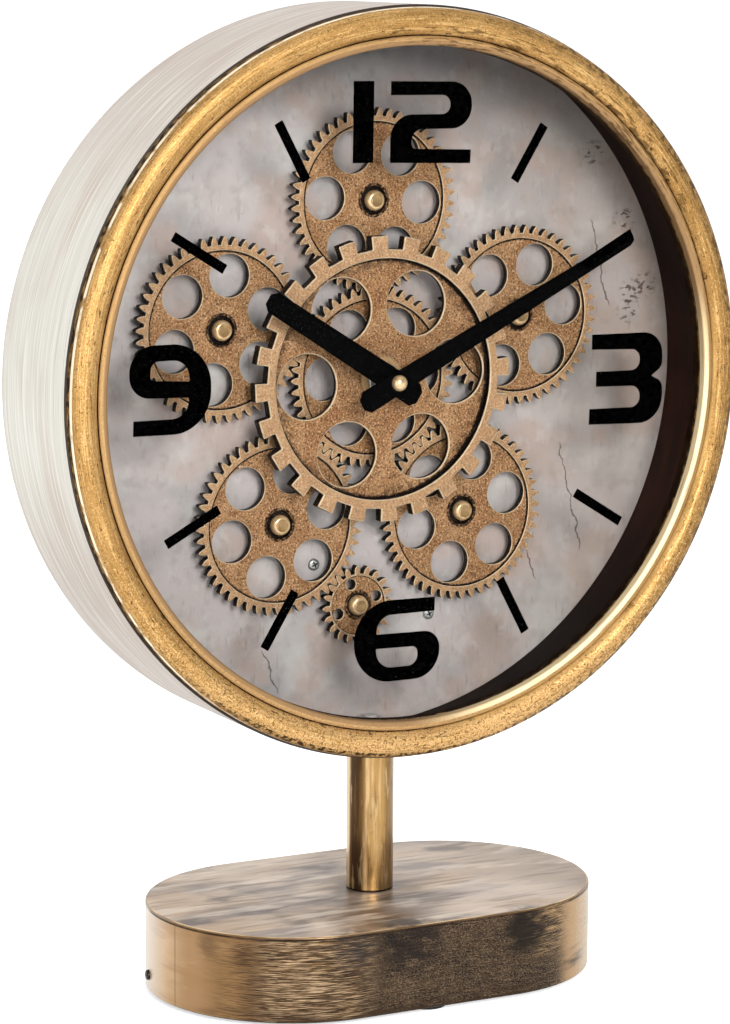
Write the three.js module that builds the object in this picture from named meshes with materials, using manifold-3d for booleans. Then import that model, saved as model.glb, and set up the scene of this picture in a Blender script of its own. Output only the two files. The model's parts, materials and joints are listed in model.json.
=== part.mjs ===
// Gear table clock: a round metal case on a stem and an obround base, with a gear train behind the glass.
// Millimetres. +Z is up, the dial faces -Y, and the origin is on the floor under the middle of the base.
import * as THREE from "three";
import { mergeVertices } from "three/addons/utils/BufferGeometryUtils.js";
import Module from "manifold-3d";

const wasm = await Module();
wasm.setup();

// Stand
const FOOT_HEIGHT = 2;
const FOOT_RADIUS = 8.5;
const FOOT_EDGE_MARGIN = 3;
const BASE_LENGTH = 199.4;
const BASE_DEPTH = 125;
const BASE_HEIGHT = 36.4;
const BASE_WALL = 1.5;
const BASE_PLATE_THICKNESS = 2;
const BASE_TAB_WIDTH = 12;
const BASE_TAB_THICKNESS = 3;
const BASE_TAB_HEIGHT = 12;
const BASE_SCREW_ANGLE = 168;
const BASE_SCREW_RISE = 6.9;
const BASE_SCREW_RADIUS = 1.5;
const BASE_SCREW_HEAD_RADIUS = 2.2;
const BASE_SCREW_HEAD_HEIGHT = 1.4;
const STEM_LENGTH = 65;
const STEM_RADIUS = 10.05;
const STEM_WALL = 1.5;
const ROD_RADIUS = 3;
const ROD_WASHER_RADIUS = 6;
const ROD_WASHER_THICKNESS = 1;
const ROD_NUT_FLATS = 10;
const ROD_NUT_HEIGHT = 4;
const ROD_END = 1;

// Case
const DRUM_RADIUS = 156;
const DRUM_DEPTH = 64.2;
const DRUM_WALL = 1.5;
const REAR_RING_WIDTH = 6.5;
const REAR_RING_THICKNESS = 1.5;
const BEZEL_STEP = 1;
const BEZEL_WIDTH = 15.5;
const BEZEL_FLANK = 3;
const BEZEL_CROWN = 4.4;
const BEZEL_SHEET = 1.2;
const BEZEL_SKIRT = 2.5;
const BEAD_WIDTH = 4;
const BEAD_RISE = 3;
const GLASS_THICKNESS = 3;
const GLASS_SETBACK = 3.7;
const GLASS_TO_CAP = 2.4;
const LINER_WALL = 2.7;
const DIAL_THICKNESS = 1;
const STEM_TO_DIAL = 7.4;
const BLOCK_COUNT = 4;
const BLOCK_WIDTH = 12;
const BLOCK_DEPTH = 10;
const BLOCK_SCREW_RADIUS = 1.5;
const BLOCK_SCREW_LENGTH = 10;
const BLOCK_SCREW_HEAD_RADIUS = 2.4;
const BLOCK_SCREW_HEAD_HEIGHT = 1.4;

// Gear train
const GEAR_MODULE = 1.545;
const PLANET_TEETH = 48;
const PLANET_COUNT = 5;
const PLANET_TOOTH_STEPS = [-1, -4, 0, -5, -1];
const PINION_TEETH = 20;
const PRESSURE_ANGLE = 20;
const BACKLASH = 0.16;
const GEAR_THICKNESS = 4;
const GEAR_STANDOFF = 4;
const PLANET_RIM = 3.4;
const PLANET_HUB = 13.7;
const PLANET_HOLES = 6;
const PLANET_BOSS_RADIUS = 5.5;
const PLANET_RECESS_RADIUS = 5.8;
const PLANET_RECESS_DEPTH = 1;
const PIN_RADIUS = 3;
const PIN_HEAD_RADIUS = 4.35;
const PIN_HEAD_RISE = 2.7;
const PIN_SPIGOT_RADIUS = 2;
const PIN_RIVET_HEIGHT = 0.8;
const PINION_DIRECTION = -45;
const PINION_RIM = 1.55;
const PINION_HUB = 7.25;
const PINION_HOLES = 4;
const FACE_TEETH = 24;
const FACE_TIP_RADIUS = 60.3;
const FACE_TOOTH_HEIGHT = 5.6;
const FACE_TOOTH_SHARE = 0.5;
const FACE_RIM = 3.9;
const FACE_RIM_THICKNESS = 5.5;
const FACE_WEB_THICKNESS = 2.5;
const FACE_HOLES = 6;
const FACE_HOLE_MARGIN = 2.05;
const FACE_HUB = 21.25;
const FACE_TURN = 2.5;
const FACE_GAP = 4.9;
const SLEEVE_FACE_RADIUS = 9.4;
const SLEEVE_FLANGE_RADIUS = 12;
const SLEEVE_SUN_RADIUS = 6.5;
const SLEEVE_PROUD = 0.4;
const COLLAR_RADIUS = 7;
const COLLAR_HEIGHT = 2;

// Clock movement and hands
const NECK_RADIUS = 4;
const NECK_END = 1.5;
const NECK_ROOT = 3;
const NECK_NUT_FLATS = 12;
const NECK_NUT_HEIGHT = 2.4;
const NECK_WASHER_RADIUS = 8;
const NECK_WASHER_THICKNESS = 0.8;
const PIPE_RADIUS = 2.65;
const PIPE_END = 0.6;
const ARBOR_RADIUS = 1.5;
const ARBOR_ROOT = 1;
const ARBOR_END = 1.5;
const HAND_THICKNESS = 0.8;
const HOUR_HAND_GAP = 8.4;
const HOUR_HAND_LENGTH = 69.5;
const HOUR_HAND_TAIL = 13.5;
const HOUR_HAND_TIP_WIDTH = 9;
const HOUR_HAND_TAIL_WIDTH = 10.4;
const HOUR_HAND_TIME = 302.3;
const MINUTE_HAND_GAP = 2.2;
const MINUTE_HAND_LENGTH = 126.8;
const MINUTE_HAND_TAIL = 19;
const MINUTE_HAND_TIP_WIDTH = 5.2;
const MINUTE_HAND_TAIL_WIDTH = 9.8;
const MINUTE_HAND_TIME = 63.5;
const HAND_CHAMFER = 2.6;
const CAP_RADIUS = 3.35;
const CAP_HEIGHT = 3.3;
const CAP_FLANK = 0.8;
const MOVEMENT_SIDE = 56;
const MOVEMENT_THICKNESS = 15.3;
const MOVEMENT_CORNER = 4;
const MOVEMENT_BAY_DROP = 17;
const KNOB_RISE = 13;
const KNOB_RADIUS = 5.5;
const KNOB_HEIGHT = 2.7;
const KNOB_RIBS = 12;
const KNOB_RIB_DEPTH = 0.5;
const KNOB_SHAFT_RADIUS = 1.5;
const KNOB_SHAFT_LENGTH = 6;
const BATTERY_RADIUS = 7;
const BATTERY_LENGTH = 48.5;
const BATTERY_TIP_RADIUS = 2.7;
const BATTERY_TIP_LENGTH = 1.5;
const BAY_END_GAP = 0.5;
const BAY_FLOOR = 0.9;

// Gear motor behind the dial
const MOTOR_WIDTH = 68;
const MOTOR_HEIGHT = 42;
const MOTOR_THICKNESS = 15.3;
const MOTOR_CORNER = 3;
const MOTOR_TURN = -24.8;
const MOTOR_SHAFT_X = -7.3;
const MOTOR_SHAFT_Z = -8.7;
const MOTOR_SHAFT_RADIUS = 2;
const MOTOR_SHAFT_ROOT = 9;
const MOTOR_SHAFT_HOLE = 5;
const MOTOR_SHAFT_END = 1.4;
const MOTOR_BAY_RISE = 10;
const MOTOR_SCREW_SPAN = 61.3;
const MOTOR_SCREW_RADIUS = 1.5;
const MOTOR_SCREW_LENGTH = 8;
const MOTOR_SCREW_HEAD_RADIUS = 2.6;
const MOTOR_SCREW_HEAD_HEIGHT = 1.4;

// Clearances and mesh fineness
const RUNNING_GAP = 0.06;
const PRESS_GAP = 0.05;
const HOLE_GAP = 0.2;
const FIT_GAP = 0.3;
const CUT_OVERRUN = 1;
const CASE_SEGMENTS = 64;
const END_SEGMENTS = 24;
const STEM_SEGMENTS = 32;
const ROUND_SEGMENTS = 16;
const HOLE_SEGMENTS = 12;
const MERGE_DISTANCE = 1e-4;

// Heights of the stand
const baseTop = FOOT_HEIGHT + BASE_HEIGHT;
const centreHeight = baseTop + STEM_LENGTH + DRUM_RADIUS;
const baseEndRadius = BASE_DEPTH / 2;
const baseEndX = BASE_LENGTH / 2 - baseEndRadius;

// Depths along Y, from the dial forwards to the bezel and back to the case's rear edge
const dialFront = STEM_TO_DIAL;
const dialBack = dialFront + DIAL_THICKNESS;
const gearBack = dialFront - GEAR_STANDOFF;
const gearFront = gearBack - GEAR_THICKNESS;
const faceBack = gearFront - FACE_GAP;
const faceFront = faceBack - FACE_RIM_THICKNESS;
const faceWebFront = faceBack - FACE_WEB_THICKNESS;
const sleeveFront = faceWebFront - SLEEVE_PROUD;
const collarBack = sleeveFront - FIT_GAP;
const collarFront = collarBack - COLLAR_HEIGHT;
const neckFront = collarFront - NECK_END;
const hourBack = faceFront - HOUR_HAND_GAP;
const hourFront = hourBack - HAND_THICKNESS;
const minuteBack = hourFront - MINUTE_HAND_GAP;
const minuteFront = minuteBack - HAND_THICKNESS;
const capFront = minuteFront - CAP_HEIGHT;
const glassBack = capFront - GLASS_TO_CAP;
const glassFront = glassBack - GLASS_THICKNESS;
const drumFront = glassFront - GLASS_SETBACK;
const drumBack = drumFront + DRUM_DEPTH;
const ringFront = drumBack - REAR_RING_THICKNESS;

// Radii of what nests inside the case
const drumInner = DRUM_RADIUS - DRUM_WALL;
const linerOuter = drumInner - FIT_GAP;
const linerInner = linerOuter - LINER_WALL;
const ringOuter = drumInner - PRESS_GAP;
const ringInner = ringOuter - REAR_RING_WIDTH;
const bezelRadius = DRUM_RADIUS - BEZEL_STEP;
const bezelLip = bezelRadius - BEZEL_WIDTH;

// Places of the gears in the dial's plane
const planetCircle = GEAR_MODULE * PLANET_TEETH;
const planetAngles = Array.from({ length: PLANET_COUNT }, (_, i) => 90 - (i * 360) / PLANET_COUNT);
const drivenPlanet = Math.min(3, PLANET_COUNT - 1);
const blockAngles = Array.from({ length: BLOCK_COUNT }, (_, i) => ((i + 0.5) * 360) / BLOCK_COUNT);
const pinionDistance = (GEAR_MODULE * (PLANET_TEETH + PINION_TEETH)) / 2;

const radians = THREE.MathUtils.degToRad;

// A point at a distance and an angle, counted anticlockwise from +X as seen from the front.
function polar(radius, degrees) {
  return new THREE.Vector2(radius * Math.cos(radians(degrees)), radius * Math.sin(radians(degrees)));
}

const drivenCentre = polar(planetCircle, planetAngles[drivenPlanet]);
const pinionCentre = drivenCentre.clone().add(polar(pinionDistance, PINION_DIRECTION));
const motorShaft = new THREE.Vector2(MOTOR_SHAFT_X, MOTOR_SHAFT_Z);
const turnedShaft = motorShaft.clone().rotateAround(new THREE.Vector2(), radians(MOTOR_TURN));
const motorCentre = pinionCentre.clone().sub(turnedShaft);

// Finishes
function finish(color, roughness, metalness) {
  return new THREE.MeshStandardMaterial({ color, roughness, metalness });
}

const paleCase = finish(0xd9d5cc, 0.45, 0.35);
const goldLeaf = finish(0xb98a45, 0.42, 0.85);
const brassStem = finish(0xb8893f, 0.32, 0.95);
const patinaBase = finish(0xa08560, 0.4, 0.7);
const bronzeGear = finish(0x9a6f3f, 0.55, 0.6);
const brassStud = finish(0xd3b25c, 0.25, 1);
const blackPaint = finish(0x0a0a0a, 0.6, 0);
const brownLiner = finish(0x24160d, 0.6, 0);
const plasterDial = finish(0xb3aaa6, 0.7, 0);
const clearGlass = finish(0xf2f6f6, 0.05, 0);
const paleNylon = finish(0xe3dccb, 0.5, 0);
const steel = finish(0xa9a9a6, 0.35, 1);
const blackPlastic = finish(0x1c1c1d, 0.5, 0);
const batteryFilm = finish(0x5a6f8c, 0.4, 0.2);
const rubber = finish(0x151515, 0.85, 0);

// A closed geometry as a solid whose faces point outwards.
function solidOf(geometry) {
  const bare = geometry.clone();
  bare.deleteAttribute("normal");
  bare.deleteAttribute("uv");
  const merged = mergeVertices(bare, MERGE_DISTANCE);
  const corners = merged.index.array;
  const kept = [];
  for (let i = 0; i < corners.length; i += 3) {
    const [a, b, c] = [corners[i], corners[i + 1], corners[i + 2]];
    if (a !== b && b !== c && c !== a) kept.push(a, b, c);
  }
  const vertProperties = merged.attributes.position.array;
  const build = (triVerts) => new wasm.Manifold(new wasm.Mesh({ numProp: 3, vertProperties, triVerts }));
  const made = build(new Uint32Array(kept));
  return made.volume() < 0 ? build(new Uint32Array(kept.reverse())) : made;
}

// A solid as a geometry that a mesh can draw.
function geometryOf(solid) {
  const { vertProperties, triVerts } = solid.getMesh();
  const geometry = new THREE.BufferGeometry();
  geometry.setAttribute("position", new THREE.BufferAttribute(vertProperties, 3));
  geometry.setIndex(new THREE.BufferAttribute(triVerts, 1));
  geometry.computeVertexNormals();
  return geometry;
}

// The corner radius of a faceted hole that is clear of a round of the given radius.
function bore(radius, segments = ROUND_SEGMENTS) {
  return radius / Math.cos(Math.PI / segments);
}

// A profile of [radius, height] turned about the Y axis: it starts and ends on the axis, or closes on itself.
function latheGeometry(profile, segments) {
  const points = profile.map(([radius, height]) => new THREE.Vector2(radius, height));
  const onAxis = profile[0][0] === 0 && profile[profile.length - 1][0] === 0;
  return new THREE.LatheGeometry(onAxis ? points : [...points, points[0].clone()], segments);
}

const turned = (profile, segments = ROUND_SEGMENTS) => solidOf(latheGeometry(profile, segments));
const turnedUpright = (profile, segments) => solidOf(latheGeometry(profile, segments).rotateX(Math.PI / 2));

// A rod along Y between two depths, standing at a place in the dial's plane.
function rod(radius, front, back, place = new THREE.Vector2(), segments = HOLE_SEGMENTS) {
  const geometry = new THREE.CylinderGeometry(radius, radius, back - front, segments);
  return solidOf(geometry.translate(place.x, (front + back) / 2, place.y));
}

// A rod along Z between two heights.
function uprightRod(radius, bottom, top, segments = ROUND_SEGMENTS) {
  const geometry = new THREE.CylinderGeometry(radius, radius, top - bottom, segments);
  return solidOf(geometry.rotateX(Math.PI / 2).translate(0, 0, (bottom + top) / 2));
}

// A profile ring between two radii and two heights.
const ringProfile = (inner, outer, low, high) => [[inner, low], [outer, low], [outer, high], [inner, high]];

// Points on a circle, anticlockwise.
function circle(radius, segments, centre = new THREE.Vector2()) {
  return Array.from({ length: segments }, (_, i) => polar(radius, (i * 360) / segments).add(centre));
}

// An outline in the dial's plane, with holes, as a plate between two depths.
function plate(outline, front, back, holes = []) {
  const shape = new THREE.Shape(outline);
  shape.holes = holes.map((hole) => new THREE.Path(hole));
  const geometry = new THREE.ExtrudeGeometry(shape, { depth: back - front, bevelEnabled: false });
  return solidOf(geometry.rotateX(Math.PI / 2).translate(0, back, 0));
}

// An outline in plan, as a block between two heights.
function block(outline, bottom, top) {
  const shape = new THREE.Shape(outline);
  const geometry = new THREE.ExtrudeGeometry(shape, { depth: top - bottom, bevelEnabled: false });
  return solidOf(geometry.translate(0, 0, bottom));
}

// A rectangle with round corners about its middle.
function roundedRectangle(width, height, corner) {
  const [x, y] = [width / 2 - corner, height / 2 - corner];
  const centres = [[x, y], [-x, y], [-x, -y], [x, -y]];
  const arc = (i) => [0, 30, 60, 90].map((degrees) => polar(corner, degrees + i * 90));
  return centres.flatMap(([cx, cy], i) => arc(i).map((point) => point.add(new THREE.Vector2(cx, cy))));
}

// An obround in plan, set in from the base's own outline.
function baseOutline(inset) {
  const radius = baseEndRadius - inset;
  const half = (start, x) =>
    Array.from({ length: END_SEGMENTS + 1 }, (_, i) =>
      polar(radius, start + (i * 180) / END_SEGMENTS).add(new THREE.Vector2(x, 0)),
    );
  return [...half(-90, baseEndX), ...half(90, -baseEndX)];
}

// A hexagon measured across its flats, with a flat to the front and the back.
const hexagon = (flats) => circle(flats / Math.sqrt(3), 6);

// Part of a quarter-ellipse dome profile, from its rim to its tip on the axis.
function dome(radius, rim, tip) {
  return [0, 30, 60, 90].map((degrees) => {
    const across = degrees === 90 ? 0 : radius * Math.cos(radians(degrees));
    return [across, rim + (tip - rim) * Math.sin(radians(degrees))];
  });
}

// Outline of a spur gear: each tooth has the involute's thickness at its root and tip, and straight flanks.
function gearOutline(teeth) {
  const pitch = (GEAR_MODULE * teeth) / 2;
  const base = pitch * Math.cos(radians(PRESSURE_ANGLE));
  const involute = (angle) => Math.tan(angle) - angle;
  const half = (Math.PI * GEAR_MODULE) / 2 - BACKLASH;
  const halfAngle = (radius) => {
    const angle = Math.acos(Math.min(1, base / radius));
    return half / (2 * pitch) + involute(radians(PRESSURE_ANGLE)) - involute(angle);
  };
  const root = gearRoot(teeth);
  const tip = pitch + GEAR_MODULE;
  const [atRoot, atTip] = [root, tip].map((radius) => THREE.MathUtils.radToDeg(halfAngle(radius)));
  return Array.from({ length: teeth }, (_, i) => (i * 360) / teeth).flatMap((middle) => [
    polar(root, middle - atRoot),
    polar(tip, middle - atTip),
    polar(tip, middle + atTip),
    polar(root, middle + atRoot),
  ]);
}

function gearRoot(teeth) {
  return GEAR_MODULE * (teeth / 2 - 1.25);
}

// Round windows that fill the space between a hub and a rim.
function windows(count, hub, rim, segments) {
  const radius = (rim - hub) / 2;
  const angles = Array.from({ length: count }, (_, i) => (i * 360) / count);
  return angles.map((degrees) => circle(radius, segments, polar(hub + radius, degrees)));
}

const model = new THREE.Group();
const head = new THREE.Group();
head.position.z = centreHeight;
model.add(head);

function add(parent, name, solid, material) {
  const mesh = new THREE.Mesh(geometryOf(solid), material);
  mesh.name = name;
  parent.add(mesh);
  return mesh;
}

// A group at a place in the dial's plane, turned anticlockwise as seen from the front.
function placed(centre, degrees) {
  const group = new THREE.Group();
  group.position.set(centre.x, 0, centre.y);
  group.rotation.y = -radians(degrees);
  head.add(group);
  return group;
}

addStand();
addCase();
addDial();
addMovement();
addGearTrain();
addMotor();

// Obround shell, bottom plate with screwed tabs, feet, and the stem clamped by a threaded rod.
function addStand() {
  const shellTop = baseTop - BASE_WALL;
  const rodHole = uprightRod(bore(ROD_RADIUS + HOLE_GAP), FOOT_HEIGHT, baseTop + CUT_OVERRUN);
  let shell = block(baseOutline(0), FOOT_HEIGHT, baseTop)
    .subtract(block(baseOutline(BASE_WALL), FOOT_HEIGHT - CUT_OVERRUN, shellTop))
    .subtract(rodHole);
  const plateTop = FOOT_HEIGHT + BASE_PLATE_THICKNESS;
  const plateRadius = baseEndRadius - BASE_WALL - FIT_GAP;
  let bottom = block(baseOutline(BASE_WALL + FIT_GAP), FOOT_HEIGHT, plateTop);
  const tabFace = Math.sqrt(plateRadius ** 2 - (BASE_TAB_WIDTH / 2) ** 2);
  const screwSeat = baseEndRadius + PRESS_GAP;
  const screwLength = screwSeat - tabFace + BASE_TAB_THICKNESS;
  const ends = [
    { x: -baseEndX, degrees: BASE_SCREW_ANGLE },
    { x: baseEndX, degrees: BASE_SCREW_ANGLE - 180 },
  ];
  const screwHeight = FOOT_HEIGHT + BASE_SCREW_RISE;
  const atEnd = (geometry, { x, degrees }) => solidOf(geometry.rotateZ(radians(degrees)).translate(x, 0, 0));
  ends.forEach((end) => {
    const tab = new THREE.BoxGeometry(BASE_TAB_THICKNESS, BASE_TAB_WIDTH, BASE_TAB_HEIGHT);
    tab.translate(tabFace - BASE_TAB_THICKNESS / 2, 0, plateTop + BASE_TAB_HEIGHT / 2 - PRESS_GAP);
    bottom = bottom.add(atEnd(tab, end));
    const length = screwLength + 2 * CUT_OVERRUN;
    const radius = bore(BASE_SCREW_RADIUS + HOLE_GAP, HOLE_SEGMENTS);
    const hole = new THREE.CylinderGeometry(radius, radius, length, HOLE_SEGMENTS).rotateZ(Math.PI / 2);
    hole.translate(screwSeat + CUT_OVERRUN - length / 2, 0, screwHeight);
    const cutter = atEnd(hole, end);
    shell = shell.subtract(cutter);
    bottom = bottom.subtract(cutter);
  });
  add(model, "base_shell", shell, patinaBase);
  add(model, "base_plate", bottom, blackPaint);

  const screw = turned([
    [0, -screwLength],
    [BASE_SCREW_RADIUS, -screwLength],
    [BASE_SCREW_RADIUS, 0],
    ...dome(BASE_SCREW_HEAD_RADIUS, 0, BASE_SCREW_HEAD_HEIGHT),
  ], HOLE_SEGMENTS);
  ends.forEach(({ x, degrees }, i) => {
    const mesh = add(model, `base_screw_${i + 1}`, screw, steel);
    mesh.position.set(x, 0, screwHeight).add(new THREE.Vector3(...polar(screwSeat, degrees), 0));
    mesh.rotation.z = radians(degrees - 90);
  });

  const foot = uprightRod(FOOT_RADIUS, 0, FOOT_HEIGHT);
  const footInset = FOOT_EDGE_MARGIN + FOOT_RADIUS;
  const [endFoot, sideFoot] = [BASE_LENGTH / 2 - footInset, baseEndRadius - footInset];
  [[0, -sideFoot], [endFoot, 0], [0, sideFoot], [-endFoot, 0]].forEach(([x, y], i) => {
    add(model, `foot_${i + 1}`, foot, rubber).position.set(x, y, 0);
  });

  const stem = ringProfile(STEM_RADIUS - STEM_WALL, STEM_RADIUS, 0, STEM_LENGTH);
  add(model, "stem_tube", turnedUpright(stem, STEM_SEGMENTS), brassStem).position.z = baseTop;

  const washerLift = ROD_WASHER_RADIUS * Math.tan(Math.PI / CASE_SEGMENTS) + PRESS_GAP;
  const upperSeat = centreHeight - linerInner + washerLift;
  const rodTop = upperSeat + ROD_WASHER_THICKNESS + ROD_NUT_HEIGHT + ROD_END;
  const rodBottom = shellTop - ROD_WASHER_THICKNESS - ROD_NUT_HEIGHT - ROD_END;
  add(model, "stem_rod", uprightRod(ROD_RADIUS, rodBottom, rodTop, HOLE_SEGMENTS), steel);
  const hole = bore(ROD_RADIUS + PRESS_GAP, HOLE_SEGMENTS);
  const washer = turnedUpright(ringProfile(hole, ROD_WASHER_RADIUS, 0, ROD_WASHER_THICKNESS), HOLE_SEGMENTS);
  const nutOutline = hexagon(ROD_NUT_FLATS);
  const nut = block(nutOutline, 0, ROD_NUT_HEIGHT).subtract(
    uprightRod(hole, -CUT_OVERRUN, ROD_NUT_HEIGHT + CUT_OVERRUN, HOLE_SEGMENTS),
  );
  add(model, "stem_washer_upper", washer, steel).position.z = upperSeat;
  add(model, "stem_nut_upper", nut, steel).position.z = upperSeat + ROD_WASHER_THICKNESS;
  add(model, "stem_washer_lower", washer, steel).position.z = shellTop - ROD_WASHER_THICKNESS;
  add(model, "stem_nut_lower", nut, steel).position.z = shellTop - ROD_WASHER_THICKNESS - ROD_NUT_HEIGHT;
}

// Drum with a ring in its rear edge, hollow bezel, glass, and the liner that spaces the glass from the dial.
function addCase() {
  const holeRadius = bore(ROD_RADIUS + HOLE_GAP);
  const rodHole = uprightRod(holeRadius, -DRUM_RADIUS - CUT_OVERRUN, CUT_OVERRUN - linerInner);
  const drum = turned(ringProfile(drumInner, DRUM_RADIUS, drumFront, drumBack), CASE_SEGMENTS);
  add(head, "case_drum", drum.subtract(rodHole), paleCase);

  const rearRing = turned(ringProfile(ringInner, ringOuter, ringFront, drumBack), CASE_SEGMENTS);
  const screwHole = bore(BLOCK_SCREW_RADIUS + HOLE_GAP, HOLE_SEGMENTS);
  const drilled = blockAngles.reduce((made, degrees) => {
    const place = polar((ringInner + ringOuter) / 2, degrees);
    return made.subtract(rod(screwHole, ringFront - CUT_OVERRUN, drumBack + CUT_OVERRUN, place));
  }, rearRing);
  add(head, "rear_ring", drilled, paleCase);

  const liner = turned(ringProfile(linerInner, linerOuter, glassBack, dialFront), CASE_SEGMENTS);
  add(head, "inner_liner", liner.subtract(rodHole), brownLiner);

  const glassRadius = drumInner - FIT_GAP;
  const glass = rod(glassRadius, glassFront, glassBack, undefined, CASE_SEGMENTS);
  add(head, "glass_lens", glass, clearGlass);

  add(head, "bezel_ring", turned(bezelProfile(), CASE_SEGMENTS), goldLeaf);
}

// Section of the bezel: a half-round moulding, a groove, a bead at the lip, and a skirt inside the drum.
function bezelProfile() {
  const skirt = drumInner - FIT_GAP;
  const flank = drumFront - BEZEL_FLANK;
  const halfMoulding = (BEZEL_WIDTH - BEAD_WIDTH) / 2;
  const mouldingCentre = bezelRadius - halfMoulding;
  const moulding = (thinner) => [0, 45, 90, 135].map((degrees) => [
    mouldingCentre + (halfMoulding - thinner) * Math.cos(radians(degrees)),
    flank - (BEZEL_CROWN - thinner) * Math.sin(radians(degrees)),
  ]);
  const groove = bezelLip + BEAD_WIDTH;
  const beadTop = flank - BEAD_RISE;
  const grooveFloor = flank - BEAD_RISE / 2;
  return [
    [skirt, drumFront + BEZEL_SKIRT],
    [skirt, drumFront],
    [bezelRadius, drumFront],
    ...moulding(0),
    [groove, grooveFloor],
    [groove - BEAD_WIDTH / 4, beadTop],
    [bezelLip + BEAD_WIDTH / 4, beadTop],
    [bezelLip, grooveFloor],
    [bezelLip, glassFront],
    [bezelLip + BEZEL_SHEET, glassFront],
    [bezelLip + BEZEL_SHEET, grooveFloor + BEZEL_SHEET],
    [groove, grooveFloor + BEZEL_SHEET],
    ...moulding(BEZEL_SHEET).reverse(),
    [skirt - BEZEL_SHEET, drumFront + BEZEL_SKIRT],
  ];
}

// Dial pressed to the liner by blocks, which screws hold from behind through the rear ring.
function addDial() {
  const round = (radius, centre) => circle(bore(radius, HOLE_SEGMENTS), HOLE_SEGMENTS, centre);
  const screwPlaces = motorScrewPlaces().map((place) => fromMotor(place));
  const holes = [
    round(NECK_RADIUS + HOLE_GAP),
    round(MOTOR_SHAFT_HOLE, pinionCentre),
    ...screwPlaces.map((place) => round(MOTOR_SCREW_RADIUS + HOLE_GAP, place)),
    ...planetAngles.map((degrees) => round(PIN_SPIGOT_RADIUS + HOLE_GAP, polar(planetCircle, degrees))),
  ];
  const dial = plate(circle(drumInner - FIT_GAP, CASE_SEGMENTS), dialFront, dialBack, holes);
  add(head, "dial_plate", dial, plasterDial);

  const apothem = drumInner * Math.cos(Math.PI / CASE_SEGMENTS);
  const wallFace = Math.sqrt((apothem - PRESS_GAP) ** 2 - (BLOCK_WIDTH / 2) ** 2);
  const screwPlace = new THREE.Vector2((ringInner + ringOuter) / 2, 0);
  const screwEnd = drumBack - BLOCK_SCREW_LENGTH;
  const body = new THREE.BoxGeometry(BLOCK_DEPTH, ringFront - dialBack, BLOCK_WIDTH);
  const screwHole = bore(BLOCK_SCREW_RADIUS + PRESS_GAP, HOLE_SEGMENTS);
  body.translate(wallFace - BLOCK_DEPTH / 2, (dialBack + ringFront) / 2, 0);
  const blockSolid = solidOf(body).subtract(
    rod(screwHole, screwEnd - FIT_GAP, ringFront + CUT_OVERRUN, screwPlace),
  );
  const screw = turned([
    [0, screwEnd],
    [BLOCK_SCREW_RADIUS, screwEnd],
    [BLOCK_SCREW_RADIUS, drumBack],
    ...dome(BLOCK_SCREW_HEAD_RADIUS, drumBack, drumBack + BLOCK_SCREW_HEAD_HEIGHT),
  ], HOLE_SEGMENTS);
  blockAngles.forEach((degrees, i) => {
    const group = placed(new THREE.Vector2(), degrees);
    add(group, `dial_block_${i + 1}`, blockSolid, blackPlastic);
    add(group, `block_screw_${i + 1}`, screw, steel).position.set(screwPlace.x, 0, 0);
  });
}

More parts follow.
